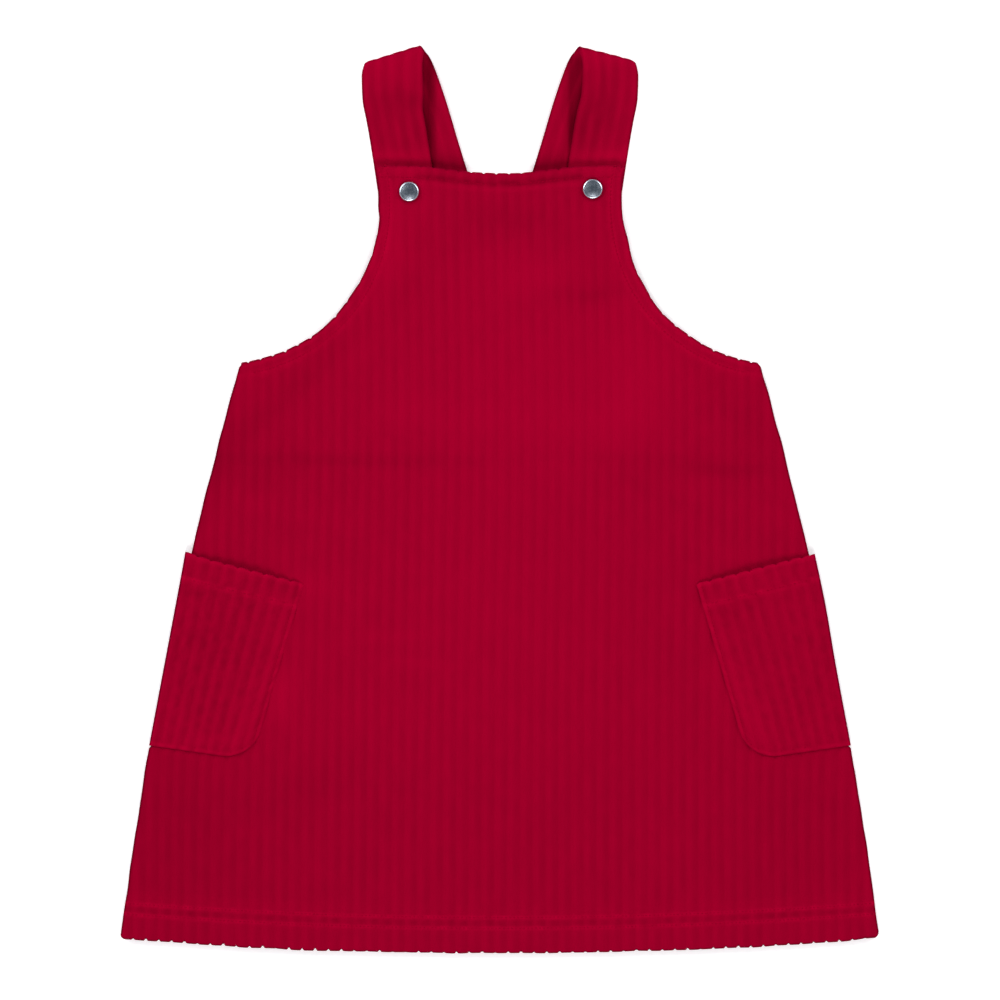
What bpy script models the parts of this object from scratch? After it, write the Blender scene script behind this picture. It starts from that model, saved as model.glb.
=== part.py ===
"""A toddler's pinafore dress in wide-rib velour, laid flat on its back.

The frame is in metres with +Z up. +X runs across the dress, +Y from its hem to its shoulder folds,
and the origin is the middle of the dress on the surface that it lies on. The sizes below are in
millimetres, and MM turns them into metres where a mesh is made.
"""

import math
from collections import namedtuple

import bmesh
import bpy
from mathutils import Vector
from mathutils.geometry import interpolate_bezier

MM = 0.001

# Cloth and seams
WALL = 1.2
GAP = 0.3
AIR = 1.2
AIR_HALF_WIDTH = 180.0
RIB_PITCH = 6.7
RIB_SPREAD = 0.000065
RIB_HEIGHT = 0.6
RIB_SHIFT = 0.13
COLUMNS_PER_RIB = 3
ROUND_SHARE = 0.55
SHARP_ANGLE = math.radians(40)

# Front and back, from the hem's lowest point up to the bib
HEM_Y = -240.0
HEM_BOW = 7.7
HEM_HALF_WIDTH = 200.0
HEM_DEPTH = 19.5
HEM_FADE = 6.0
HEM_CORNER = 2.2
HEM_XS = (170.0, 135.0, 100.0, 65.0, 30.0)
TURN_UP = 0.9
SIDE_TOP_Y = 70.0
SIDE_TOP_HALF_WIDTH = 138.2
SIDE_SLOPE = 0.2792
SIDE_EASE = 0.000236
SIDE_STEPS = 11
NECK_KNOTS = ((0.0, 172.5), (20.0, 172.5), (34.0, 177.3), (66.0, 176.4))
BIB_SIDE_KNOTS = ((66.0, 176.4), (64.4, 170.0), (64.0, 163.0), (64.0, 156.0))
ARMHOLE_KNOTS = ((64.0, 156.0), (64.3, 107.0), (99.5, 77.0), (136.5, 72.0))
BACK_TOP_Y = 140.0

# The bib rides over the strap ends and the snaps
BIB_RISE = 4.4
BIB_SAG = 0.2
BIB_RISE_FROM_Y = 100.0
BIB_RISE_TO_Y = 146.0
BIB_SAG_HALF_WIDTH = 38.0

# Straps
STRAP_WIDTH = 30.4
STRAP_BASE = 1.1
STRAP_RIB_HEIGHT = 0.3
STRAP_RIB_SHIFT = -0.85
STRAP_STEPS = 2
STRAP_EDGE = 0.4
STRAP_CORNER = 2.4
STRAP_CORNER_REACH = 7.0
STRAP_SPREAD = {-1: 1.7, 1: -1.0}
STRAP_SPREAD_OUTER = 0.5
STRAP_SPREAD_FROM = 8.0
STRAP_SPREAD_REACH = (4.0, 22.0, 34.0)
STRAP_FOLD_SPREAD = 1.2
STRAP_FOLD_REACH = 6.0

# Pockets, each half a patch folded round the side
POCKET_MOUTH_OUTER = (166.7, -28.4)
POCKET_MOUTH_INNER = (103.9, -44.4)
POCKET_FOOT_INNER = (131.4, -138.0)
POCKET_FOOT_OUTER = (185.9, -130.2)
POCKET_CORNER = 16.0
POCKET_RIBS = 9
POCKET_GAPE = 2.8
POCKET_ROWS = (-0.08, 0.0, 0.12, 0.3, 0.55, 0.8, 1.1)
POCKET_HOLLOW_COLUMNS = (0, 0.15, 0.33, 0.5, 0.67, 0.85, 1.15)
LIFT_PLATEAU = 25.0
LIFT_FADE = 35.0

# Snaps
SNAP_CENTRES = {"left": (-48.1, 162.8), "right": (49.0, 164.2)}
CAP_RADIUS = 5.3
CAP_RIM = 0.7
CAP_DOME = 1.5
SHANK_RADIUS = 1.4
SOCKET_RADIUS = 4.6
SOCKET_BORE = 2.3
SOCKET_DEPTH = 1.1
STUD_RADIUS = 4.4
STUD_BASE = 0.5
KNOB_RADIUS = 1.9
KNOB_HEIGHT = 0.9
SNAP_STEPS = 20
DOME_STEP = 15

Station = namedtuple("Station", "x y z tilt")

# The middle of the strap's thickness from its sewn end, over the shoulder fold, to its snapped end.
# x is measured outward from the centre front, and tilt is the rise of its width in degrees.
STRAP_FLOOR_Z = STRAP_BASE / 2
STRAP_SEAM_Z = WALL + GAP + STRAP_BASE / 2
STRAP_FRONT_Z = STRAP_BASE * 1.5 + 2 * STRAP_RIB_HEIGHT + GAP
STRAP_LOOP = 2.75
STRAP_STATIONS = [
    Station(19.6, 132.0, STRAP_SEAM_Z, 18.0),
    Station(24.3, 147.0, STRAP_SEAM_Z, 18.0),
    Station(29.0, 161.0, STRAP_FLOOR_Z, 18.0),
    Station(36.0, 183.0, STRAP_FLOOR_Z, 18.0),
    Station(43.5, 208.0, STRAP_FLOOR_Z, 18.0),
    Station(50.6, 227.5, STRAP_FLOOR_Z, 18.0),
    Station(55.0, 233.4, STRAP_FLOOR_Z + 0.25 * STRAP_LOOP, 17.5),
    Station(57.2, 235.3, STRAP_FLOOR_Z + STRAP_LOOP, 16.4),
    Station(57.6, 233.0, STRAP_FLOOR_Z + 1.8 * STRAP_LOOP, 14.8),
    Station(57.8, 226.0, STRAP_FLOOR_Z + 2 * STRAP_LOOP, 11.0),
    Station(57.0, 211.0, STRAP_FLOOR_Z + 1.85 * STRAP_LOOP, 8.5),
    Station(54.3, 195.0, STRAP_FRONT_Z + 1.6, 8.4),
    Station(51.6, 178.0, STRAP_FRONT_Z, 8.4),
    Station(47.1, 148.0, STRAP_FRONT_Z, 8.4),
]
STRAP_LAST_FLAT = 5
STRAP_APEX = 7

# Heights above the hem at which the drape of front and back is worked out
DRAPE_ROWS = [-8, 18.5, 27, 55, 85, 115, 145, 175, 205, 235, 265, 292, 312]
BIB_ROWS = [326, 340, 350, 360, 370, 380, 390, 402, 422]
BODY_ROWS = DRAPE_ROWS + BIB_ROWS
RIBS_EACH_SIDE = 31
RIBS_PER_DRAPE_COLUMN = 3
PRISM_LOW = -4.0
PRISM_HIGH = 16.0


def clear_scene():
    for item in list(bpy.data.objects):
        bpy.data.objects.remove(item, do_unlink=True)


def smooth_step(value):
    value = min(1.0, max(0.0, value))
    return value * value * (3 - 2 * value)


def mix(first, second, part):
    return first + (second - first) * part


# The cut of the dress


def side_half_width(y):
    drop = SIDE_TOP_Y - y
    return SIDE_TOP_HALF_WIDTH + SIDE_SLOPE * drop - SIDE_EASE * drop * drop


def hem_line(x):
    return HEM_Y + HEM_BOW * (x / HEM_HALF_WIDTH) ** 2


def bezier(knots, points):
    """Points along one Bezier curve, from its start, its two handles and its end."""
    return [tuple(point)[:2] for point in interpolate_bezier(*[Vector(knot) for knot in knots], points)]


def rounded(start, corner, end, points):
    """The round from start to end of two edges that would meet at the corner."""
    start, corner, end = Vector(start), Vector(corner), Vector(end)
    return bezier((start, start.lerp(corner, ROUND_SHARE), end.lerp(corner, ROUND_SHARE), end), points)


def armhole():
    return bezier(BIB_SIDE_KNOTS, 5) + bezier(ARMHOLE_KNOTS, 15)[1:]


def side_and_hem():
    """From under the arm down the side, round the corner and along the hem to the middle."""
    hem_y = hem_line(HEM_HALF_WIDTH)
    ys = [mix(SIDE_TOP_Y, hem_y + HEM_CORNER, step / SIDE_STEPS) for step in range(SIDE_STEPS + 1)]
    side = [(side_half_width(y), y) for y in ys]
    corner_x = side[-1][0]
    round_end = (corner_x - HEM_CORNER, hem_line(corner_x - HEM_CORNER))
    return side + rounded(side[-1], (corner_x, hem_y), round_end, 4)[1:] + [(x, hem_line(x)) for x in HEM_XS]


def both_sides(half):
    """Closes a half outline, which runs from the top middle to the bottom middle, by mirroring it."""
    return half + [(-x, y) for x, y in reversed(half) if x > 0]


def front_outline():
    return both_sides(bezier(NECK_KNOTS, 6) + armhole()[1:] + side_and_hem() + [(0, HEM_Y)])


def back_outline():
    """The front's outline, cut straight across below the bib."""
    lower = [point for point in armhole() if point[1] < BACK_TOP_Y - 1]
    above = [point for point in armhole() if point[1] >= BACK_TOP_Y - 1][-1]
    part = (BACK_TOP_Y - lower[0][1]) / (above[1] - lower[0][1])
    top_corner = (mix(lower[0][0], above[0], part), BACK_TOP_Y)
    return both_sides([(0, BACK_TOP_Y), top_corner] + lower + side_and_hem() + [(0, HEM_Y)])


# How the layers lie on each other


def hem_fold(x, y):
    """1 where the hem is turned up inside, 0 above it."""
    return 1 - smooth_step((y - hem_line(x) - HEM_DEPTH) / HEM_FADE)


def bib_raise(y):
    return smooth_step((y - BIB_RISE_FROM_Y) / (BIB_RISE_TO_Y - BIB_RISE_FROM_Y))


def back_under(x, y):
    """Flat on the floor, but lifted where the pockets' back halves lie under it."""
    in_x = POCKET_MOUTH_INNER[0] - abs(x)
    in_y = max(y - POCKET_MOUTH_OUTER[1], POCKET_FOOT_INNER[1] - y)
    away = math.hypot(max(0.0, in_x), max(0.0, in_y))
    return (WALL + GAP) * (1 - smooth_step((away - LIFT_PLATEAU) / LIFT_FADE))


def back_top(x, y):
    return back_under(x, y) + WALL + TURN_UP * hem_fold(x, y)


def front_under(x, y):
    hem = hem_fold(x, y)
    air = AIR * max(0.0, 1 - (x / AIR_HALF_WIDTH) ** 2) * (1 - hem) * (1 - bib_raise(y))
    sag = 1 - BIB_SAG * (1 - smooth_step(abs(x) / BIB_SAG_HALF_WIDTH))
    return back_top(x, y) + GAP + air + BIB_RISE * sag * bib_raise(y)


def front_crest(x, y):
    """The tops of the front's ribs."""
    return front_under(x, y) + WALL + TURN_UP * hem_fold(x, y) + RIB_HEIGHT


# Solids from outlines, surfaces, sections and profiles


def add_object(name, mesh, collection, material=None):
    item = bpy.data.objects.new(name, mesh)
    collection.objects.link(item)
    mesh.shade_smooth()
    mesh.set_sharp_from_angle(angle=SHARP_ANGLE)
    if material:
        mesh.materials.append(material)
    else:
        item.hide_render = True
        item.display_type = "WIRE"
    return item


def finish_mesh(name, form):
    """Turns the bmesh, whose points are in millimetres, into a mesh in metres."""
    bmesh.ops.triangulate(form, faces=form.faces)
    bmesh.ops.recalc_face_normals(form, faces=form.faces)
    bmesh.ops.scale(form, vec=(MM, MM, MM), verts=form.verts)
    mesh = bpy.data.meshes.new(name)
    form.to_mesh(mesh)
    form.free()
    return mesh


def prism(name, outline, low, high):
    form = bmesh.new()
    base = form.faces.new([form.verts.new((x, y, low)) for x, y in outline])
    raised = bmesh.ops.extrude_face_region(form, geom=[base])["geom"]
    top = [item for item in raised if isinstance(item, bmesh.types.BMVert)]
    bmesh.ops.translate(form, vec=(0, 0, high - low), verts=top)
    return finish_mesh(name, form)


def block_under(name, columns, rows, surface, low):
    """Closed solid below a surface: surface(column, row) is a point of its top, low its flat bottom."""
    form = bmesh.new()
    across, along = len(columns) - 1, len(rows) - 1
    bmesh.ops.create_grid(form, x_segments=across, y_segments=along, size=1)
    for vert in form.verts:
        column = columns[round((vert.co.x + 1) / 2 * across)]
        row = rows[round((vert.co.y + 1) / 2 * along)]
        vert.co = surface(column, row)
    rim = [edge for edge in form.edges if edge.is_boundary]
    skirt = bmesh.ops.extrude_edge_only(form, edges=rim)["geom"]
    for item in skirt:
        if isinstance(item, bmesh.types.BMVert):
            item.co.z = low
    bottom = [edge for edge in form.edges if edge.is_boundary]
    bmesh.ops.contextual_create(form, geom=bottom)
    return finish_mesh(name, form)


def loft(name, sections):
    """Closed solid through sections of equal point counts, with its first and last one filled."""
    form = bmesh.new()
    rings = [[form.verts.new(point) for point in section] for section in sections]
    for ring, following in zip(rings, rings[1:]):
        for index in range(len(ring)):
            after = (index + 1) % len(ring)
            form.faces.new((ring[index], ring[after], following[after], following[index]))
    form.faces.new(rings[0])
    form.faces.new(rings[-1])
    return finish_mesh(name, form)


def turned(name, profile, centre, collection, material):
    """Screws a profile of (radius, height) about the Z axis through the centre."""
    mesh = bpy.data.meshes.new(name)
    points = [(radius * MM, 0, height * MM) for radius, height in profile]
    mesh.from_pydata(points, [(index, index + 1) for index in range(len(points) - 1)], [])
    item = add_object(name, mesh, collection, material)
    item.location = Vector((centre[0], centre[1], 0)) * MM
    screw = item.modifiers.new("Turn", "SCREW")
    screw.steps = SNAP_STEPS
    screw.render_steps = SNAP_STEPS
    screw.use_merge_vertices = True
    screw.merge_threshold = 0.00001
    return item


def combine(item, operation, cutter):
    boolean = item.modifiers.new(cutter.name, "BOOLEAN")
    boolean.operation = operation
    boolean.solver = "EXACT"
    boolean.object = cutter


# Ribs: three columns to each, its groove and its two shoulders


def rib_columns(low, high):
    return [low + index / COLUMNS_PER_RIB for index in range((high - low) * COLUMNS_PER_RIB + 1)]


def drape_columns():
    """Every third rib, which is enough for a surface without ribs."""
    count = RIBS_EACH_SIDE // RIBS_PER_DRAPE_COLUMN + 1
    return [index * RIBS_PER_DRAPE_COLUMN for index in range(-count, count + 1)]


def rib_profile(phase):
    """0 in the groove, where phase is whole, and 1 on the shoulders and the crest between them."""
    return min(1.0, abs(phase - round(phase)) * COLUMNS_PER_RIB)


def body_block(name, columns, height):
    """Solid below a height over the whole dress: columns count ribs from the middle."""

    def surface(column, row):
        y = HEM_Y + row
        x = (column + 0.5 + RIB_SHIFT) * RIB_PITCH * (1 - RIB_SPREAD * y)
        y += HEM_BOW * (x / HEM_HALF_WIDTH) ** 2 * max(0.0, 1 - row / DRAPE_ROWS[-1])
        return Vector((x, y, height(x, y, column)))

    return block_under(name, columns, BODY_ROWS, surface, PRISM_LOW * 2)


# Pieces


def make_back(parts, cutters, cloth):
    item = add_object("back_panel", prism("back_panel", back_outline(), PRISM_LOW, PRISM_HIGH), parts, cloth)
    top = body_block("back_top_block", drape_columns(), lambda x, y, column: back_top(x, y))
    combine(item, "INTERSECT", add_object("back_top_block", top, cutters))
    under = body_block("back_under_block", drape_columns(), lambda x, y, column: back_under(x, y))
    combine(item, "DIFFERENCE", add_object("back_under_block", under, cutters))


def make_front(parts, cutters, cloth):
    def ribbed(x, y, column):
        return front_crest(x, y) - RIB_HEIGHT * (1 - rib_profile(column))

    item = add_object("front_panel", prism("front_panel", front_outline(), PRISM_LOW, PRISM_HIGH), parts, cloth)
    ribs = body_block("front_rib_block", rib_columns(-RIBS_EACH_SIDE - 1, RIBS_EACH_SIDE + 1), ribbed)
    combine(item, "INTERSECT", add_object("front_rib_block", ribs, cutters))
    under = body_block("front_under_block", drape_columns(), lambda x, y, column: front_under(x, y))
    combine(item, "DIFFERENCE", add_object("front_under_block", under, cutters))
    return item


def pocket_outer(y):
    start, end = POCKET_MOUTH_OUTER, POCKET_FOOT_OUTER
    return mix(start[0], end[0], (y - start[1]) / (end[1] - start[1]))


def pocket_point(across, down):
    """Across runs from the fold at the side to the inner edge, down from the mouth to the foot."""
    mouth = Vector(POCKET_MOUTH_OUTER).lerp(Vector(POCKET_MOUTH_INNER), across)
    foot = Vector(POCKET_FOOT_OUTER).lerp(Vector(POCKET_FOOT_INNER), across)
    return mouth.lerp(foot, down)


def pocket_outline(side):
    inner_edge = (Vector(POCKET_FOOT_INNER) - Vector(POCKET_MOUTH_INNER)).normalized()
    foot_edge = (Vector(POCKET_FOOT_OUTER) - Vector(POCKET_FOOT_INNER)).normalized()
    corner = Vector(POCKET_FOOT_INNER)
    corner_round = rounded(corner - inner_edge * POCKET_CORNER, corner, corner + foot_edge * POCKET_CORNER, 7)
    points = [POCKET_MOUTH_OUTER, POCKET_MOUTH_INNER] + corner_round + [POCKET_FOOT_OUTER]
    return [(side * x, y) for x, y in points]


def pocket_under(across, down):
    """The pocket's inner face over the front, gaping a little in the middle of its mouth."""
    x, y = pocket_point(across, down)
    gape = math.sin(math.pi * min(1.0, max(0.0, across))) * max(0.0, 1 - down) ** 2
    return front_crest(x, y) + GAP + POCKET_GAPE * gape


def make_pocket(name, side, parts, cutters, cloth):
    item = add_object(name, prism(name, pocket_outline(side), 0.0, PRISM_HIGH), parts, cloth)

    def outer_face(column, row):
        across = column / POCKET_RIBS
        x, y = pocket_point(across, row)
        return Vector((side * x, y, pocket_under(across, row) + WALL + RIB_HEIGHT * rib_profile(column)))

    def inner_face(column, row):
        x, y = pocket_point(column, row)
        if column == 0:
            x = pocket_outer(y) - WALL
        return Vector((side * x, y, pocket_under(column, row)))

    columns = rib_columns(-1, POCKET_RIBS + 1)
    relief = block_under(name + "_relief", columns, POCKET_ROWS, outer_face, PRISM_LOW)
    combine(item, "INTERSECT", add_object(name + "_relief", relief, cutters))
    hollow = block_under(name + "_hollow", POCKET_HOLLOW_COLUMNS, POCKET_ROWS, inner_face, WALL)
    combine(item, "DIFFERENCE", add_object(name + "_hollow", hollow, cutters))


def strap_path(side):
    """Stations along the strap, with further ones between them on a smooth curve."""
    stations = [Vector((side * row.x, row.y, row.z, row.tilt)) for row in STRAP_STATIONS]
    padded = [stations[0] * 2 - stations[1]] + stations + [stations[-1] * 2 - stations[-2]]
    path = []
    for before, start, end, after in zip(padded, padded[1:], padded[2:], padded[3:]):
        for step in range(STRAP_STEPS):
            t = step / STRAP_STEPS
            bend = (end - before) * (t - 2 * t**2 + t**3) + (after - start) * (t**3 - t**2)
            path.append(start * (1 - 3 * t**2 + 2 * t**3) + end * (3 * t**2 - 2 * t**3) + bend / 2)
    return path + [stations[-1]]


def corner_draw(place, from_apex):
    """How far the fold's round outer corner draws back the end of a section's width."""
    outside = max(0.0, 1 - (STRAP_WIDTH / 2 + place) / STRAP_CORNER)
    return STRAP_CORNER * (1 - math.sqrt(1 - outside**2)) * math.exp(-((from_apex / STRAP_CORNER_REACH) ** 2))


def spread_place(place, from_apex, side):
    """The strip lies a little wider or narrower beside its fold: from_apex is below 0 behind it."""
    full, near, far = STRAP_SPREAD_REACH
    share = smooth_step(from_apex / full) * (1 - smooth_step((from_apex - near) / (far - near)))
    wider = STRAP_SPREAD_OUTER * share
    if place > 0:
        wider = STRAP_SPREAD[side] * share + STRAP_FOLD_SPREAD * math.exp(-((from_apex / STRAP_FOLD_REACH) ** 2))
    return place + wider * max(-1.0, min(1.0, place / STRAP_SPREAD_FROM))


def strap_section(centre, tangent, tilt, side, outer_ribs, from_apex):
    """Closed section: the outer face with its ribs, then the inner face with its own."""
    lean = math.radians(tilt)
    width = Vector((-side * math.cos(lean), math.sin(lean), 0))
    tangent = (tangent - width * tangent.dot(width)).normalized()
    outward = tangent.cross(width) * -side
    half = STRAP_WIDTH / 2
    ribs = [(phase * RIB_PITCH + STRAP_RIB_SHIFT, rib_profile(phase)) for phase in rib_columns(-3, 3)]
    inside = [(place, rib) for place, rib in ribs if abs(place) < half - STRAP_EDGE]
    faces = [(-half, 1.0)] + inside + [(half, 1.0)]

    def point(place, height):
        drawn = Vector((0, corner_draw(place, from_apex), 0))
        return centre + width * spread_place(place, from_apex, side) + outward * height - drawn

    base = STRAP_BASE / 2
    outer = [point(place, base + STRAP_RIB_HEIGHT * outer_ribs * rib) for place, rib in faces]
    inner = [point(place, -base - STRAP_RIB_HEIGHT * rib) for place, rib in reversed(faces)]
    return outer + inner


def make_strap(name, side, parts, cloth):
    path = strap_path(side)
    apex = path[STRAP_APEX * STRAP_STEPS].to_3d()
    sections = []
    for index, station in enumerate(path):
        before = path[max(0, index - 1)]
        after = path[min(len(path) - 1, index + 1)]
        tangent = (after - before).to_3d()
        past_fold = index > STRAP_LAST_FLAT * STRAP_STEPS
        outer_ribs = smooth_step((station.z - STRAP_FLOOR_Z) / STRAP_LOOP) if past_fold else 0.0
        centre = station.to_3d()
        from_apex = (centre - apex).length * (1 if index > STRAP_APEX * STRAP_STEPS else -1)
        sections.append(strap_section(centre, tangent, station.w, side, outer_ribs, from_apex))
    add_object(name, loft(name, sections), parts, cloth)


def make_snap(hand, front, parts, cutters, metal):
    """Cap riveted through the bib to its socket, and the stud on the strap end that it closes on."""
    centre = SNAP_CENTRES[hand]
    strap_top = STRAP_FRONT_Z + STRAP_BASE / 2 + STRAP_RIB_HEIGHT
    stud_low = strap_top + GAP
    stud_high = stud_low + STUD_BASE
    knob_high = stud_high + KNOB_HEIGHT
    stud = [(0, knob_high), (KNOB_RADIUS, knob_high), (KNOB_RADIUS, stud_high), (STUD_RADIUS, stud_high),
            (STUD_RADIUS, stud_low), (0, stud_low)]
    turned("snap_stud_" + hand, stud, centre, parts, metal)
    bib_low = front_under(*centre)
    socket_high = bib_low - GAP
    socket_low = socket_high - SOCKET_DEPTH
    socket = [(SOCKET_BORE, socket_high), (SOCKET_RADIUS, socket_high), (SOCKET_RADIUS, socket_low),
              (SOCKET_BORE, socket_low), (SOCKET_BORE, socket_high)]
    turned("snap_socket_" + hand, socket, centre, parts, metal)
    cap_low = front_crest(*centre) + GAP
    dome = [(CAP_RADIUS * math.sin(angle), cap_low + CAP_RIM + CAP_DOME * math.cos(angle))
            for angle in [math.radians(turn) for turn in range(0, 91, DOME_STEP)]]
    shank_low = knob_high + GAP
    foot = [(CAP_RADIUS, cap_low), (SHANK_RADIUS, cap_low), (SHANK_RADIUS, shank_low), (0, shank_low)]
    turned("snap_cap_" + hand, dome + foot, centre, parts, metal)
    hole_radius = SHANK_RADIUS + GAP
    hole = turned("snap_hole_" + hand, [(0, PRISM_HIGH), (hole_radius, PRISM_HIGH), (hole_radius, 0), (0, 0)],
                  centre, cutters, None)
    combine(front, "DIFFERENCE", hole)


def make_material(name, colour, roughness, metallic):
    material = bpy.data.materials.new(name)
    material.use_nodes = True
    shader = material.node_tree.nodes["Principled BSDF"]
    shader.inputs["Base Color"].default_value = (*colour, 1)
    shader.inputs["Roughness"].default_value = roughness
    shader.inputs["Metallic"].default_value = metallic
    return material


def main():
    clear_scene()
    parts = bpy.data.collections.new("pinafore_dress")
    cutters = bpy.data.collections.new("cutters")
    for collection in (parts, cutters):
        bpy.context.scene.collection.children.link(collection)
    cloth = make_material("red_rib_velour", (0.33, 0.002, 0.021), 0.85, 0.0)
    metal = make_material("polished_nickel", (0.68, 0.68, 0.66), 0.15, 1.0)
    make_back(parts, cutters, cloth)
    front = make_front(parts, cutters, cloth)
    for hand, side in (("left", -1), ("right", 1)):
        make_pocket("pocket_" + hand, side, parts, cutters, cloth)
        make_strap("strap_" + hand, side, parts, cloth)
        make_snap(hand, front, parts, cutters, metal)


main()
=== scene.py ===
import math
from collections import namedtuple

import bmesh
import bpy
from mathutils import Euler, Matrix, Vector, noise
from mathutils.geometry import delaunay_2d_cdt, interpolate_bezier
from mathutils.kdtree import KDTree


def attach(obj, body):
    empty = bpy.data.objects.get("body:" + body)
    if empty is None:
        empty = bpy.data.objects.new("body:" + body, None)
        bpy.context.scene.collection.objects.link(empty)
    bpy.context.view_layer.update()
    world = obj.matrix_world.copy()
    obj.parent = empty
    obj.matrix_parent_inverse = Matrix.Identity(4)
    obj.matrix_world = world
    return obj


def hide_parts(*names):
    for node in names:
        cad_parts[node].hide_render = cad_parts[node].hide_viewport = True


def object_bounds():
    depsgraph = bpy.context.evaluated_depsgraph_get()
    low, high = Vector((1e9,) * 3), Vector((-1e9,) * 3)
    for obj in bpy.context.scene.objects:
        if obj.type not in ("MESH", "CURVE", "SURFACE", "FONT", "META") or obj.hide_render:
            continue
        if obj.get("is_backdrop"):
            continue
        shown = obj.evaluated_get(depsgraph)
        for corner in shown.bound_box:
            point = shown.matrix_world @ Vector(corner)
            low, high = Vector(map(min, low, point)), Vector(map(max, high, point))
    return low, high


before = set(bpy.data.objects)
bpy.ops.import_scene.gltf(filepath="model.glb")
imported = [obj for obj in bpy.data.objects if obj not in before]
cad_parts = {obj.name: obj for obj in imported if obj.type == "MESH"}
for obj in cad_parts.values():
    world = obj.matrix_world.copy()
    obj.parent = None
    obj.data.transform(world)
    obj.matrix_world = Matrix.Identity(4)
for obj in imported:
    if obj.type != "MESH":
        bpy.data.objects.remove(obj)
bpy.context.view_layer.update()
print("frame loaded with", len(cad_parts), "nodes")

mm = 0.001


def clamp(value, low=0.0, high=1.0):
    return min(high, max(low, value))


def smoothStep(value):
    value = clamp(value)
    return value * value * (3 - 2 * value)


def stepAt(place, ramp):
    # rises from 0 at the ramp's start to 1 over its reach
    start, reach = ramp
    return smoothStep((place - start) / reach)


def mix(first, second, share):
    return first + (second - first) * share


def inSteps(start, end, steps):
    return [mix(start, end, step / steps) for step in range(steps + 1)]


def bell(offset, width):
    return math.exp(-((offset / width) ** 2))


def bellAt(place, peak):
    # 1 at the peak's middle, falling away over its width
    middle, width = peak
    return bell(place - middle, width)


def ripple(x, y, scale, seed=0.0):
    # soft unevenness from -1 to 1, the same on each run; scale is its length in metres
    return noise.noise(Vector((x / scale, y / scale, seed)))


def uneven(x, y, wave, seed):
    # wave is the middle amount, how much it varies, and over what length
    middle, by, length = wave
    return middle + by * ripple(x, y, length, seed)


def curve(knots, count=24):
    # the points of one Bezier curve in the plane, from two ends and two handles in millimetres
    flat = [Vector((x * mm, y * mm, 0)) for x, y in knots]
    return [point.to_2d() for point in interpolate_bezier(*flat, count)]


def spread(line, spacing):
    # a polyline's points again at even spacing, with both its ends
    lengths = [0.0]
    for start, end in zip(line, line[1:]):
        lengths.append(lengths[-1] + (end - start).length)
    steps = max(1, round(lengths[-1] / spacing))
    points, index = [], 0
    for step in range(steps + 1):
        target = lengths[-1] * step / steps
        while index < len(line) - 2 and lengths[index + 1] < target:
            index += 1
        share = (target - lengths[index]) / max(lengths[index + 1] - lengths[index], 1e-9)
        points.append(line[index].lerp(line[index + 1], share))
    return points


velour = {
    "wall": 1.2 * mm,
    "gap": 0.3 * mm,  # between layers that lie on each other
    "turnUp": 0.9 * mm,  # what the second layer of a hem adds
    "ribPitch": 6.7 * mm,
    "ribShift": 0.13,  # the grooves stand this share of a rib off the middle
    "ribSpread": 0.065,  # how much the ribs close up toward the shoulders, per metre
    "ribHeight": 0.5 * mm,
    "ribWander": 0.06,  # in ribs
    "ribWanderReach": 30 * mm,
    "ribWanderSlow": 0.35,  # it changes this much less down the cloth than across
    "ribBow": 0.37,  # how far, in ribs, the chest draws them to the right
    "ribBowY": 45 * mm,
    "ribBowReach": (100 * mm, 115 * mm),
    "ribLean": 0.22,  # how far, in ribs, they lean left at both ends of the hem
    "ribLeanFrom": (90 * mm, -100 * mm),
    "ribLeanReach": 80 * mm,
    "grooveEase": (0.004, 0.063),  # rounds the bottom of a groove
    "crest": (0.44, 2.2),  # how far, in ribs, it is from the groove, and how blunt
    "ribSteps": (0.0, 0.1, 0.23, 0.41, 0.59, 0.77, 0.9),
    "scallopWidth": 0.085,  # of the notch in an edge at each groove, in ribs
    "scallopReach": 1.4 * mm,
    "scallopOwn": (0.62, 1.2),
}

sewn = {
    "width": 1.2 * mm,  # half the width of the trough that a sewn line pulls
    "depth": 0.34 * mm,
    "press": 0.5,  # how much of a rib's height it presses flat
    "pressDepth": 1 / 3,  # how deep in mm a seam has to be for that
    "hemInsets": (13.0 * mm, 18.7 * mm),
    "hemEnd": 2.5 * mm,
    "lineWidth": 0.95 * mm,  # painted light along the hem's rows
    "lineLight": 0.95,
    "lineWave": (0.75, 0.8, 4 * mm),
    "betweenWidth": 2.0 * mm,  # and painted shade on the crests between them
    "betweenShade": 0.12,
    "betweenWave": (1.0, 1.5, 7 * mm),
    "seamWave": (0.85, 0.4, 9 * mm),
    "seamFineWave": (0.0, 0.5, 2.2 * mm),
    "edgeInsets": {"neck": 5.8 * mm, "armhole": 5.6 * mm},
    "edgeSpacing": 0.5 * mm,  # of the points that an open edge's seams are measured from
    "neckFade": (40 * mm, 8 * mm),  # the neck's seam sinks away from this far out
    "allowance": 0.28 * mm,  # the seam allowance under an edge lifts the cloth
    "allowanceWidth": 4.1 * mm,
    "allowanceFade": 3.0 * mm,
    "stitchPitch": 2.12 * mm,
    "stitchLength": 1.6 * mm,
    "threadRadius": 0.2 * mm,
    "threadCorners": 6,
    "threadSink": 0.4,  # how much of its radius lies in the pile
    "stitchLift": 0.12 * mm,
}

Seam = namedtuple("Seam", "inset width depth nap")

# what lies along each kind of open edge, by how far in it is, in millimetres
# the last number above 0 is painted light, below 0 painted shade
edgeSeams = {
    "neck": (Seam(5.6, 1.9, 0.62, -0.47), Seam(8.8, 1.5, -0.1, 0.3)),
    "armhole": (Seam(1.8, 1.4, 0.0, 0.45), Seam(4.1, 1.2, 0.28, -0.1), Seam(6.3, 1.5, 0.05, 0.5)),
}


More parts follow.
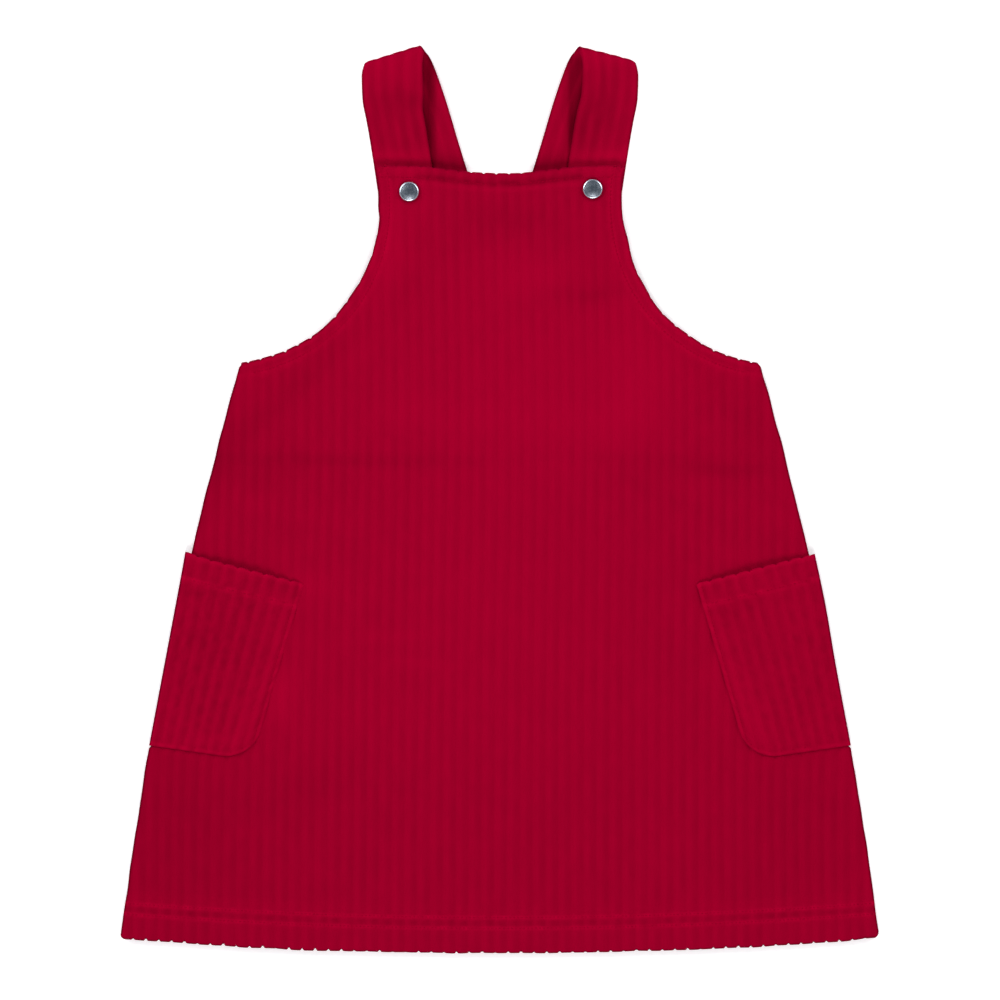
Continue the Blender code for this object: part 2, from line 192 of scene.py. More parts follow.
def ribShift(x, y):
    # how far the ribs stand to the right of an even spacing about the middle, in ribs
    away = y - velour["ribBowY"]
    bow = velour["ribBow"] * bell(away, velour["ribBowReach"][0 if away > 0 else 1])
    fromX, fromY = velour["ribLeanFrom"]
    reach = velour["ribLeanReach"]
    lean = velour["ribLean"] * smoothStep((abs(x) - fromX) / reach) * smoothStep((fromY - y) / reach)
    return 0.5 + velour["ribShift"] + bow - lean


def ribPhase(x, y):
    # whole in a groove, and half past on a crest
    wander = ripple(x, y * velour["ribWanderSlow"], velour["ribWanderReach"], 4.0)
    spacing = velour["ribPitch"] * (1 - velour["ribSpread"] * y)
    return x / spacing - ribShift(x, y) + velour["ribWander"] * wander


def ribShape(phase):
    # 0 in the groove, rounding over to 1 on the crest
    away = abs(phase - round(phase))
    soft, start = velour["grooveEase"]
    reach, bluntness = velour["crest"]
    eased = math.sqrt(away * away + soft) - start
    return 1 - (1 - clamp(eased / reach)) ** bluntness


Crease = namedtuple("Crease", "fromX fromY toX toY bow width lift")


def creaseLift(x, y, creases):
    # all sizes in a Crease are in millimetres; a lift below 0 is a trough
    x, y = x / mm, y / mm
    total = 0.0
    for crease in creases:
        runX, runY = crease.toX - crease.fromX, crease.toY - crease.fromY
        length = math.hypot(runX, runY)
        along = ((x - crease.fromX) * runX + (y - crease.fromY) * runY) / length**2
        if not -0.3 < along < 1.3:  # too far past its ends to count
            continue
        inside = clamp(along)
        off = ((y - crease.fromY) * runX - (x - crease.fromX) * runY) / length
        off -= crease.bow * math.sin(math.pi * inside)
        past = (along - inside) * length
        fade = 0.35 + 0.65 * math.sin(math.pi * inside)
        total += crease.lift * fade * bell(math.hypot(off, past), crease.width)
    return total * mm


Brush = namedtuple("Brush", "x y reachX reachY turn nap")


def patchShading(x, y, brushes):
    # broad patches of painted light and shade, in millimetres and degrees
    x, y = x / mm, y / mm
    total = 0.0
    for shadingPatch in brushes:
        turn = math.radians(shadingPatch.turn)
        offX, offY = x - shadingPatch.x, y - shadingPatch.y
        across = (offX * math.cos(turn) + offY * math.sin(turn)) / shadingPatch.reachX
        along = (offY * math.cos(turn) - offX * math.sin(turn)) / shadingPatch.reachY
        square = across * across + along * along
        if square < 7:  # further out it doesn't show
            total += shadingPatch.nap * math.exp(-square)
    return total


dress = {
    "hemY": -240.0 * mm,
    "hemBow": 7.7 * mm,
    "hemHalfWidth": 200.0 * mm,
    "hemDepth": 19.5 * mm,
    "hemDepthFade": 5 * mm,
    "hemBowReach": 300 * mm,  # the rows of points lose the hem's bow this far up
    "hemCorner": 2.2 * mm,
    "sideTopY": 70.0 * mm,
    "sideTopHalfWidth": 138.2 * mm,
    "sideSlope": 0.2792,
    "sideEase": 0.236,  # per metre
    "backTopY": 140.0 * mm,
    "air": 1.2 * mm,  # between front and back along the middle
    "airReach": 180 * mm,
    "bibRise": 4.4 * mm,  # the bib rides over the strap ends and the snaps
    "bibSag": 0.2,
    "bibSagHalfWidth": 38.0 * mm,
    "bibRiseFromY": 100.0 * mm,
    "bibRiseToY": 146.0 * mm,
    "facingY": 22.5 * mm,  # where the facing inside the chest ends
    "facingLift": 0.7 * mm,
    "facingWaver": 1.5 * mm,
    "facingWaverReach": 40 * mm,
    "facingStep": 3.0 * mm,
    "facingFade": (22 * mm, 30 * mm),  # it doesn't show in the middle
    "drapeIntoAir": 0.8,  # the troughs take at most this share of the air, and of the bib's rise
    "drapeIntoRise": 0.5,
    "neckKnots": ((0, 172.5), (20, 172.5), (34, 177.3), (66, 176.4)),
    "bibSideKnots": ((66, 176.3), (64.4, 170), (64, 163), (64, 156)),
    "armholeKnots": ((64, 156), (64.3, 107), (99.5, 77), (136.5, 72)),
}


def sideHalfWidth(y):
    drop = dress["sideTopY"] - y
    return dress["sideTopHalfWidth"] + dress["sideSlope"] * drop - dress["sideEase"] * drop * drop


def hemLine(x):
    return dress["hemY"] + dress["hemBow"] * (x / dress["hemHalfWidth"]) ** 2


def sideAndHem():
    # down the side from under the arm, round the corner and along the hem to the middle
    radius = dress["hemCorner"]
    cornerY = hemLine(dress["hemHalfWidth"]) + radius
    side = [Vector((sideHalfWidth(y), y)) for y in inSteps(dress["sideTopY"], cornerY, 40)]
    centre = Vector((side[-1].x - radius, cornerY))
    turns = [math.radians(angle) for angle in range(0, 90, 10)]
    corner = [centre + radius * Vector((math.cos(turn), -math.sin(turn))) for turn in turns]
    hem = [Vector((x, hemLine(x))) for x in inSteps(centre.x, 0.0, 40)]
    return [("side", side), ("hem", corner + hem)]


def outline(top, armhole):
    # each stretch with its kind, clockwise from the top middle; the seam has a corner under the arm
    underArm = Vector((dress["sideTopHalfWidth"], dress["sideTopY"]))
    half = [("neck", top), ("armhole", armhole), ("side", [armhole[-1], underArm])] + sideAndHem()
    other = [(kind, [Vector((-point.x, point.y)) for point in reversed(line)])
             for kind, line in reversed(half)]
    return half + other


def frontEdges():
    armhole = curve(dress["bibSideKnots"], 12) + curve(dress["armholeKnots"], 60)[1:]
    return outline(curve(dress["neckKnots"]), armhole)


def backEdges():
    top = dress["backTopY"]
    armhole = [point for point in curve(dress["armholeKnots"], 60) if point.y < top]
    corner = Vector((armhole[0].x, top))
    return outline([Vector((0, top)), corner], [corner] + armhole)


def treeOf(places):
    tree = KDTree(len(places))
    for index, place in enumerate(places):
        tree.insert((place.x, place.y, 0), index)
    tree.balance()
    return tree


def makeRim(edges, spacings):
    # the outline clockwise, with each kind of edge evenly spaced and the way in at each of its points
    places, kinds = [], []
    for kind, line in edges:
        evenly = spread(line, spacings[kind])[:-1]
        places += evenly
        kinds += [kind] * len(evenly)
    inward = []
    for index in range(len(places)):
        along = places[(index + 1) % len(places)] - places[index - 1]
        inward.append(Vector((along.y, -along.x)).normalized())
    return {"places": places, "kinds": kinds, "inward": inward, "tree": treeOf(places)}


def rimDistance(rim, point):
    # how far inside the outline a point lies, and the nearest of the outline's points
    places = rim["places"]
    index = rim["tree"].find((point.x, point.y, 0))[1]
    nearest = 1.0
    for start in (index - 1, index):
        first, second = places[start], places[(start + 1) % len(places)]
        along = second - first
        share = clamp((point - first).dot(along) / along.length_squared)
        nearest = min(nearest, (point - first - along * share).length)
    outside = (point - places[index]).dot(rim["inward"][index]) < 0
    return (-nearest if outside else nearest), index


def rimArea(rim):
    places = rim["places"]
    return abs(sum(first.cross(second) for first, second in zip(places, places[1:] + places[:1]))) / 2


pocket = {
    "mouthOuter": Vector((166.7, -28.4)) * mm,
    "mouthInner": Vector((103.9, -44.4)) * mm,
    "footInner": Vector((131.4, -138.0)) * mm,
    "footOuter": Vector((185.9, -130.2)) * mm,
    "flatSize": (134 * mm, 100 * mm),  # unfolded
    "flatArea": 0.0125,
    "corner": 16.0 * mm,
    "ribs": 9,
    "ribHeight": 0.62 * mm,
    "backRibHeight": 0.4 * mm,
    "rowSpacing": 1.5 * mm,
    "edgeInsets": (0.0, 0.12, 0.4, 0.9, 1.6, 2.4, 3.2),  # in mm, of the lines of points beside its edge
    "gape": 3.0 * mm,
    "bulge": 0.7 * mm,
    "edgeGap": 0.08 * mm,
    "edgeThin": 0.5 * mm,  # how much thinner the patch is along its sewn edges
    "edgeThinReach": 4.0 * mm,
    "roll": 1.0 * mm,
    "reliefRoll": 1.5 * mm,
    "liftPlateau": 12.0 * mm,
    "liftFade": 30.0 * mm,
    "foldReach": 3.2 * mm,  # how far in from the side the fold's round reaches
    "foldPower": 0.8,  # 1 is a half circle, less is squarer
    "mouthHem": 12.4 * mm,
    "mouthBand": 0.3 * mm,  # how much thicker the cloth is over its hem
    "mouthBandFade": 2.0 * mm,
    "edgeSeam": 2.4 * mm,
    "edgeSeamWidth": 0.7 * mm,
    "seamDepth": 0.2 * mm,
    "backSeamDepth": 0.25 * mm,
    "seamPress": 0.6,  # how much of a rib's height is lost there
    "edgePress": 0.5,
    "scallop": 0.85 * mm,  # of the mouth, at each groove
    "scallopWidth": 0.12,
    "scallopReach": 1.8 * mm,
    "ear": {-1: 0.8 * mm, 1: -0.4 * mm},  # how the mouth's corner at the fold sticks up
    "earWidth": 0.12,
    "earReach": 5.0 * mm,
    "swell": {-1: 0.0, 1: 0.6 * mm},  # of the fold below the mouth
    "swellDown": (0.28, 0.2),  # where it is largest, and its reach
    # from here on, painted light and shade with some random tone, and where: a middle and a width, or a start
    # and a reach
    "lighterAllOver": {-1: 0.03, 1: 0.12},
    "cloudWave": (0.0, 0.18, 4.2 * mm),
    "rim": (1.1 * mm, 1.1 * mm),
    "rimWave": (0.5, 0.7, 4.5 * mm),
    "hemRow": (0.0, 1.3 * mm),
    "hemWave": (0.45, 1.1, 4.5 * mm),
    "lipLight": 0.5,
    "lip": (1.0 * mm, 1.0 * mm),
    "cornerLighter": 0.3,
    "cornerSide": (9 * mm, 10 * mm),
    "cornerFoot": (24 * mm, 22 * mm),
    "belowHemDarker": -0.12,
    "belowHem": (5 * mm, 4 * mm),
    "foldShade": 1.1,
    "foldShadeFrom": (0.12, 0.16),
}

frontCreases = [
    Crease(-156, 26, -44, 121, -5, 9, -0.9),
    Crease(152, 28, 72, 96, 4, 9, -0.6),
    Crease(30, 110, 68, 108, 1, 5, -0.6),
    Crease(1, 158, 8, 128, 2, 10, -0.7),
    Crease(2, 124, 34, 106, 3, 9, 0.6),
    Crease(74, 86, 90, 36, 4, 11, 0.8),
    Crease(-70, 53, -36, 38, -3, 12, 0.7),
    Crease(-60, 12, -96, -226, 6, 15, 0.7),
    Crease(-22, -24, -12, -232, -5, 13, -0.6),
    Crease(38, 14, 57, -232, 5, 17, 0.7),
    Crease(104, -10, 122, -228, 4, 13, -0.7),
    Crease(-128, -148, -140, -230, 2, 10, 0.6),
    Crease(120, 52, 150, 24, 3, 9, -0.7),
]


def hemFold(x, y):
    # 1 where the hem is turned up inside
    return 1 - smoothStep((y - hemLine(x) - dress["hemDepth"]) / dress["hemDepthFade"])


def bibRaise(y):
    return smoothStep((y - dress["bibRiseFromY"]) / (dress["bibRiseToY"] - dress["bibRiseFromY"]))


def backUnder(x, y):
    # flat on the floor, but lifted over the pockets' back halves
    inX = pocket["mouthInner"].x - abs(x)
    inY = max(y - pocket["mouthOuter"].y, pocket["footInner"].y - y)
    away = math.hypot(max(0.0, inX), max(0.0, inY))
    lift = 1 - smoothStep((away - pocket["liftPlateau"]) / pocket["liftFade"])
    return (velour["wall"] + velour["gap"]) * lift


def backTop(x, y):
    return backUnder(x, y) + velour["wall"] + velour["turnUp"] * hemFold(x, y)


def frontUnder(x, y):
    hem, raised = hemFold(x, y), bibRaise(y)
    air = dress["air"] * max(0.0, 1 - (x / dress["airReach"]) ** 2) * (1 - hem) * (1 - raised)
    sag = 1 - dress["bibSag"] * (1 - smoothStep(abs(x) / dress["bibSagHalfWidth"]))
    rise = dress["bibRise"] * sag * raised
    above = y - dress["facingY"] - dress["facingWaver"] * ripple(x, 0, dress["facingWaverReach"], 2.0)
    facing = smoothStep(above / dress["facingStep"] + 0.5) * stepAt(abs(x), dress["facingFade"])
    drape = creaseLift(x, y, frontCreases) + dress["facingLift"] * facing
    lowest = -dress["drapeIntoAir"] * air - dress["drapeIntoRise"] * rise
    return backTop(x, y) + velour["gap"] + air + rise + max(drape, lowest)


def frontCrest(x, y):
    # the tops of the front's ribs
    return frontUnder(x, y) + velour["wall"] + velour["turnUp"] * hemFold(x, y) + velour["ribHeight"]


def ribGrid(rowsAt):
    # points on the lines of the ribs; rowsAt are heights above the hem
    points = []
    half = int(dress["hemHalfWidth"] / velour["ribPitch"]) + 3
    for rib in range(-half, half):
        for share in velour["ribSteps"]:
            for row in rowsAt:
                y = dress["hemY"] + row
                pitch = velour["ribPitch"] * (1 - velour["ribSpread"] * y)
                x = (rib + share + ribShift((rib + share) * pitch, y)) * pitch
                bow = dress["hemBow"] * (x / dress["hemHalfWidth"]) ** 2
                y += bow * max(0.0, 1 - row / dress["hemBowReach"])
                points.append(Vector((x, y)))
    return points


def rowHeights(plain, fine, bands, top):
    rows, row = [], plain / 2
    while row < top:
        rows.append(row)
        row += fine if any(low <= row < high for low, high in bands) else plain
    return rows


def plainGrid(spacing, top):
    across = int(dress["hemHalfWidth"] / spacing) + 1
    return [Vector((column * spacing, dress["hemY"] + (row + 0.5) * spacing))
            for column in range(-across, across + 1) for row in range(int(top / spacing))]


def fillInside(rim, rings, grid, clear):
    # triangles inside the outline: its own points, then rings of points set in from it, then the grid's
    points = list(rim["places"])
    count = len(points)
    for inset, kinds in rings:
        for place, inward, kind in zip(rim["places"], rim["inward"], rim["kinds"]):
            point = place + inward * inset
            if kind in kinds and rimDistance(rim, point)[0] > 0.94 * inset:
                points.append(point)
    for point in grid:
        distance, index = rimDistance(rim, point)
        if distance > clear[rim["kinds"][index]]:
            points.append(point)
    loop = [(index, (index + 1) % count) for index in range(count)]
    places, _, faces, origins, _, _ = delaunay_2d_cdt(points, loop, [], 1, 1e-7)
    return [place.copy() for place in places], faces, [origin[0] for origin in origins]


def newCloth():
    # an empty form whose points carry painted light and shade with some random tone, and their place on the
    # flat cloth
    form = bmesh.new()
    form.loops.layers.uv.new("cloth")
    nap = form.verts.layers.float.new("nap")
    flat = {}

    def addPoint(point, pointShadingAndTone, place):
        vert = form.verts.new(point)
        vert[nap] = pointShadingAndTone
        flat[vert] = place
        return vert

    return form, flat, addPoint


def clothObject(name, form, flat, materials, flatFaces=()):
    layer = form.loops.layers.uv["cloth"]
    for face in form.faces:
        for loop in face.loops:
            loop[layer].uv = flat[loop.vert]
    return toObject(name, form, materials, flatFaces)


def toObject(name, form, materials, flatFaces=()):
    # closes a form into an object that is smooth but for the faces named
    bmesh.ops.recalc_face_normals(form, faces=form.faces)
    for face in form.faces:
        face.smooth = face not in flatFaces
    mesh = bpy.data.meshes.new(name)
    form.to_mesh(mesh)
    form.free()
    for material in materials:
        mesh.materials.append(material)
    piece = bpy.data.objects.new(name, mesh)
    bpy.context.scene.collection.objects.link(piece)
    print(name, "has", len(mesh.polygons), "faces")
    return piece


def joinRings(form, rings):
    # faces from each closed ring of points to the next, and one over each end
    for first, second in zip(rings, rings[1:]):
        for index in range(len(first)):
            form.faces.new((first[index - 1], first[index], second[index], second[index - 1]))
    return [form.faces.new(ring) for ring in (rings[0], rings[-1])]


def buildShell(name, panel, rim, outerPoint, innerPoint, shadingAt, materials):
    # a closed shell whose outer and inner fillings share the outline's points
    rows = rowHeights(panel["rowSpacing"], panel["fineSpacing"], panel["fineBands"], panel["height"])
    outer = fillInside(rim, rollRings + seamRings, ribGrid(rows), gridClear)
    inner = fillInside(rim, rollRings[1:], plainGrid(panel["plainSpacing"], panel["height"]), plainClear)
    form, flat, addPoint = newCloth()

    def addAt(pointAt, place, distance, index):
        flatPlace = (ribPhase(*place), place.y / velour["ribPitch"])
        nap = shadingAt(*place, distance, rim["kinds"][index])
        return addPoint(pointAt(place, distance, index), nap, flatPlace)

    edge = [addAt(outerPoint, place, 0.0, index) for index, place in enumerate(rim["places"])]
    for slot, (filling, pointAt) in enumerate(((outer, outerPoint), (inner, innerPoint))):
        places, faces, origins = filling
        verts = []
        for place, origin in zip(places, origins):
            if origin < len(edge):
                verts.append(edge[origin])
            else:
                verts.append(addAt(pointAt, place, *rimDistance(rim, place)))
        for corners in faces:
            face = form.faces.new([verts[corner] for corner in corners])
            face.material_index = slot
    return clothObject(name, form, flat, materials)


def raised(place, height):
    return Vector((place.x, place.y, height))


def rollDrop(distance, reach):
    # how far round its edge the cloth has turned, from 1 at the very edge to 0 at reach
    inside = clamp(distance / reach)
    return 1 - math.sqrt(max(0.0, 1 - (1 - inside) ** 2))


def rolled(face, other, distance, reach):
    # a face's height, which goes to the middle of the cloth where the edge turns over
    return face + (other - face) / 2 * rollDrop(distance, reach)


def scallop(phase, inward, distance, depth):
    # the edge draws in a little where a groove runs out over it, each time by its own amount
    groove = bell(phase - round(phase), velour["scallopWidth"])
    even, varied = velour["scallopOwn"]
    own = even + varied * noise.noise(Vector((round(phase) * 1.7, math.copysign(5.0, inward.y), 9.0)))
    return depth * abs(inward.y) * groove * max(0.0, own) * bell(distance, velour["scallopReach"])


snap = {
    "centres": {"left": Vector((-48.1, 162.8)) * mm, "right": Vector((49.0, 164.2)) * mm},
    "radius": 5.25 * mm,
    "domeRadius": 4.2 * mm,
    "dome": 0.48 * mm,
    "height": 1.9 * mm,
    "rimHeight": 0.5 * mm,
    "rimRound": (0.15 * mm, 0.1 * mm),
    "footInset": 0.5 * mm,
    "shank": 1.4 * mm,
    "shankDepth": 3.2 * mm,
    "sink": 0.15 * mm,  # how deep the cap lies in the ribs
    "tiltOut": {-1: 1.0, 1: -1.5},  # degrees that each cap leans away from the middle
    "tiltDown": {-1: 1.0, 1: 0.5},
    "turns": 64,
    "dimple": 0.3 * mm,  # how far it presses the cloth down, out to a radius
    "dimpleRadius": 5.5 * mm,
    "dimpleFade": 3.0 * mm,
    "shade": 0.5,  # painted shadow on the cloth just outside its rim
    "shadeRadius": 5.6 * mm,
    "shadeWidth": 0.8 * mm,
}


# the front: bib and skirt cut in one
front = {
    "rimSpacing": {"neck": 0.6 * mm, "armhole": 0.55 * mm, "side": 1.4 * mm, "hem": 0.45 * mm},
    "rowSpacing": 2.5 * mm,
    "fineSpacing": 0.8 * mm,
    "fineBands": ((10.5 * mm, 21 * mm), (395 * mm, 412 * mm)),  # at the hem's rows and the snaps
    "plainSpacing": 5.5 * mm,
    "height": 417 * mm,  # that the rows of points have to cover
    "cutHeight": 416.3 * mm,
    "scallop": {"neck": 0.95 * mm, "armhole": 1.15 * mm, "side": 0.2 * mm, "hem": 1.7 * mm},
    "roll": 1.15 * mm,
    "sideRoll": 0.35 * mm,  # how much lower the cloth turns over at the side seams
    "sideReach": 4.5 * mm,
    "waver": 0.45 * mm,  # the outline isn't quite even
    "waverReach": 16 * mm,
    "edgeReach": 6 * mm,
    "outset": {"neck": 0.1 * mm, "armhole": 0.4 * mm, "side": 0.15 * mm, "hem": 0.35 * mm},
    # (y, reach, by) in mm, down the armholes and along the hem
    "sway": {-1: ((146, 6, -1.3), (128, 10, -0.4), (108, 8, 0.6), (73, 5, 0.5)),
             1: ((137, 11, 1.4), (113, 12, 0.95), (86, 8, 0.65))},
    "hemSway": ((-106, 30, 0.55), (-172, 30, 0.25), (142, 40, 0.3), (196, 9, -0.8)),
    "flareY": -131 * mm,  # the sides spring out again below the pockets
    "flareStep": 1.5 * mm,
    "flareNear": (0.55 * mm, 20 * mm),  # by how much, and how far down
    "flareFar": (0.4 * mm, 55 * mm, 30 * mm),
}

# broad patches of painted light and shade over the front
frontShadingPatches = [
    Brush(16, 62, 90, 62, 0, 0.3),  # painted light over the whole chest
    Brush(-10, -62, 105, 70, 0, 0.21),
    Brush(14, 118, 22, 11, 12, 0.2),
    Brush(74, 72, 18, 26, 24, 0.22),
    Brush(-62, 112, 9, 34, -24, 0.2),  # inside the armholes
    Brush(66, 112, 8, 26, 24, 0.08),
    Brush(-52, 50, 17, 12, 0, 0.1),
    Brush(50, 108, 19, 5, 4, -0.28),
    Brush(6, 148, 24, 9, 0, -0.16),
    Brush(-118, 50, 48, 8, 40, -0.13),  # under the left arm
    Brush(-66, 98, 36, 6, 44, -0.1),
    Brush(-134, 15, 34, 24, 0, -0.11),
    Brush(-78, 20, 44, 3.5, -1, -0.16),  # along the facing's end
    Brush(98, 18, 52, 4, -4, -0.12),
    Brush(126, 42, 26, 9, -36, -0.14),
    Brush(-116, -4, 34, 5, -14, 0.1),
    Brush(-112, -28, 20, 5, 12, 0.1),
    Brush(-52, -72, 26, 3, 2, 0.12),
    Brush(-40, -87, 24, 3, -3, 0.15),
    Brush(-172, -182, 40, 58, 0, -0.13),  # the hem's ends
    Brush(158, -190, 30, 52, 0, -0.06),
    Brush(-102, -150, 22, 12, 20, -0.08),
    Brush(84, -160, 14, 60, 6, 0.07),
    Brush(66, 44, 22, 20, 0, 0.08),
    Brush(-52, 174, 11, 3, 0, 0.35),  # the bib's corners
    Brush(54, 174, 11, 3, 0, 0.3),
    Brush(-57, 140, 7, 24, -6, 0.32),
    Brush(66, 104, 6, 22, 24, 0.1),
    Brush(-152, 12, 4, 45, -15.6, -0.14),  # down the left side
    Brush(-116, -103, 10, 17, 0, 0.4),  # beside the pockets
    Brush(-105, -45, 10, 6, 0, 0.2),
    Brush(117, -98, 9, 20, 0, 0.2),
    Brush(0, 122, 40, 12, 0, 0.1),
    Brush(0, 42, 110, 8, 0, 0.09),
    Brush(85, 3, 26, 4, -24, -0.12),  # below the facing
    Brush(-30, 20, 40, 3.5, 2, -0.12),
    Brush(118, 15, 30, 5, 4, -0.1),
    Brush(62, 46, 12, 26, -38, 0.08),
    Brush(-98, -48, 22, 12, 0, 0.12),
    Brush(-72, -112, 26, 12, 0, 0.08),
    Brush(146, 67, 8, 8, 0, -0.12),
    Brush(-64, 160, 5, 9, 0, -0.25),  # about the left snap
    Brush(-40, 157, 6, 8, 0, 0.22),
    Brush(125, -30, 12, 5, -14, 0.16),
    Brush(0, 128, 60, 30, 0, 0.05),
    Brush(0, -125, 120, 22, 0, 0.05),
]

bodyEdges = ("neck", "armhole", "side", "hem")
openEdges = ("neck", "armhole")
rollRings = [(inset * mm, bodyEdges) for inset in (0.12, 0.4, 0.85, 1.5)]
seamRings = [(inset * mm, openEdges) for inset in (2.3, 3.1, 3.9, 4.6, 5.2, 5.9, 6.6, 7.4)]
gridClear = {"neck": 8.2 * mm, "armhole": 8.2 * mm, "side": 2.1 * mm, "hem": 2.1 * mm}
plainClear = {kind: 3.5 * mm for kind in bodyEdges}

# painted shade over each kind of edge: how dark, and over how many millimetres
edgeDark = {"neck": (0.5, 1.2), "armhole": (1.0, 1.7), "side": (1.0, 1.6), "hem": (1.0, 1.1)}


def edgeShade(kind, distance):
    depth, reach = edgeDark[kind]
    return depth * (1 - smoothStep(distance / (reach * mm)))


def openEdge(edges):
    # the open edges' points as a tree, with the kind of edge that each is on
    places, kinds = [], []
    for kind, line in edges:
        if kind in openEdges:
            places += spread(line, sewn["edgeSpacing"])
            kinds += [kind] * (len(places) - len(kinds))
    return treeOf(places), kinds


def hemRows(hemUp, width):
    return max(bell(hemUp - inset, width) for inset in sewn["hemInsets"])


def seamField(x, y, opened):
    # how much a sewn line presses the ribs, how far it and the allowance move the face, and the painted light
    # and shade along it
    tree, kinds = opened
    _, index, away = tree.find((x, y, 0))
    kind, hemUp = kinds[index], y - hemLine(x)
    rows = hemRows(hemUp, sewn["width"])
    press, shift = sewn["press"] * rows, -sewn["depth"] * rows
    # painted light along the hem's rows, and painted shade on the crests between them
    nap = sewn["lineLight"] * hemRows(hemUp, sewn["lineWidth"]) * uneven(x, y, sewn["lineWave"], 3.0)
    between = bell(hemUp - sum(sewn["hemInsets"]) / 2, sewn["betweenWidth"])
    between *= ribShape(ribPhase(x, y)) * uneven(x, y, sewn["betweenWave"], 6.0)
    nap -= sewn["betweenShade"] * between
    shown = 1 - stepAt(abs(x), sewn["neckFade"]) if kind == "neck" else 1.0
    pulled = uneven(x, y, sewn["seamWave"], 7.0)
    # painted light and shade along each open edge's seams
    for seam in edgeSeams[kind]:
        near = shown * bell(away - seam.inset * mm, seam.width * mm)
        press += sewn["press"] * near * min(1.0, abs(seam.depth) / sewn["pressDepth"])
        shift -= seam.depth * mm * near * pulled
        nap += seam.nap * near * (pulled + uneven(x, y, sewn["seamFineWave"], 5.0))
    shift += sewn["allowance"] * (1 - smoothStep((away - sewn["allowanceWidth"]) / sewn["allowanceFade"]))
    return clamp(press), shift, nap


def snapAway(x, y):
    return min(math.hypot(x - centre.x, y - centre.y) for centre in snap["centres"].values())


def swayAt(place, rows):
    return sum(by * mm * bell(place - at * mm, reach * mm) for at, reach, by in rows)


def outset(kind, x, y):
    # the ribs' crests stand out over the cut edge
    out = front["outset"][kind]
    if kind == "armhole":
        return out + swayAt(y, front["sway"][1 if x > 0 else -1])
    if kind == "hem":
        return out + swayAt(x, front["hemSway"])
    if kind == "side":
        below = front["flareY"] - y
        near, reach = front["flareNear"]
        far, start, fade = front["flareFar"]
        flare = near * bell(max(0.0, below), reach) + far * (1 - smoothStep((below - start) / fade))
        return out + flare * smoothStep(below / front["flareStep"] + 0.5)
    return out


def makeFront(materials):
    edges = frontEdges()
    rim = makeRim(edges, front["rimSpacing"])
    opened = openEdge(edges)

    def faceHeight(x, y):
        press, shift, _ = seamField(x, y, opened)
        pressed = 1 - smoothStep((snapAway(x, y) - snap["dimpleRadius"]) / snap["dimpleFade"])
        relief = velour["ribHeight"] * (1 - ribShape(ribPhase(x, y))) * (1 - max(press, pressed))
        return frontCrest(x, y) + shift - relief - snap["dimple"] * pressed

    def outerPoint(place, distance, index):
        kind, inward = rim["kinds"][index], rim["inward"][index]
        waver = front["waver"] * ripple(*place, front["waverReach"], 11.0) - outset(kind, *place)
        pull = scallop(ribPhase(*place), inward, distance, front["scallop"][kind])
        pull += waver * bell(distance, front["edgeReach"])
        height = rolled(faceHeight(*place), frontUnder(*place), distance, front["roll"])
        if kind == "side":
            height -= front["sideRoll"] * (1 - smoothStep(distance / front["sideReach"]))
        return raised(place + inward * pull, height)

    def innerPoint(place, distance, _):
        return raised(place, rolled(frontUnder(*place), frontCrest(*place), distance, front["roll"]))

    def shadingAt(x, y, distance, kind):
        # painted light and shade: along the seams, in broad patches, darker at the edges, and a painted
        # shadow round each snap cap
        nap = seamField(x, y, opened)[2] + patchShading(x, y, frontShadingPatches) - edgeShade(kind, distance)
        return nap - snap["shade"] * bell(snapAway(x, y) - snap["shadeRadius"], snap["shadeWidth"])

    panel = buildShell("front_shell", front, rim, outerPoint, innerPoint, shadingAt, materials)
    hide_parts("front_panel")
    return panel, rim, faceHeight


# the back, whose ribs face the floor
back = {
    "rimSpacing": {"neck": 0.8 * mm, "armhole": 0.7 * mm, "side": 1.4 * mm, "hem": 0.7 * mm},
    "rowSpacing": 3.0 * mm,
    "fineSpacing": 0.8 * mm,
    "fineBands": ((10.5 * mm, 21 * mm),),
    "plainSpacing": 5.5 * mm,
    "height": 381 * mm,
    "cutHeight": 380 * mm,
    "scallop": {"neck": 0.4 * mm, "armhole": 0.9 * mm, "side": 0.2 * mm, "hem": 1.1 * mm},
    "roll": 0.9 * mm,
    "ribDepth": 0.42 * mm,
    "rest": 0.03 * mm,  # the crests lie just above the floor
}

# broad patches of painted light and shade over the back
backShadingPatches = [
    Brush(-60, 40, 60, 50, 20, 0.2),
    Brush(50, -70, 80, 60, 0, 0.16),
    Brush(110, 30, 36, 10, -30, -0.2),
    Brush(-130, -170, 50, 50, 0, -0.2),
    Brush(90, -200, 60, 24, 0, -0.14),
]

backCreases = [
    Crease(-118, 52, -58, 118, 4, 9, 0.35),
    Crease(112, 50, 60, 110, -4, 9, 0.3),
    Crease(-48, 20, -74, -224, -6, 14, 0.4),
    Crease(12, 60, 6, -230, 5, 12, 0.35),
    Crease(78, 8, 104, -226, 4, 15, 0.4),
    Crease(-20, 104, 26, 96, 3, 8, 0.3),
    Crease(-140, 10, -160, -224, 3, 9, 0.3),
]


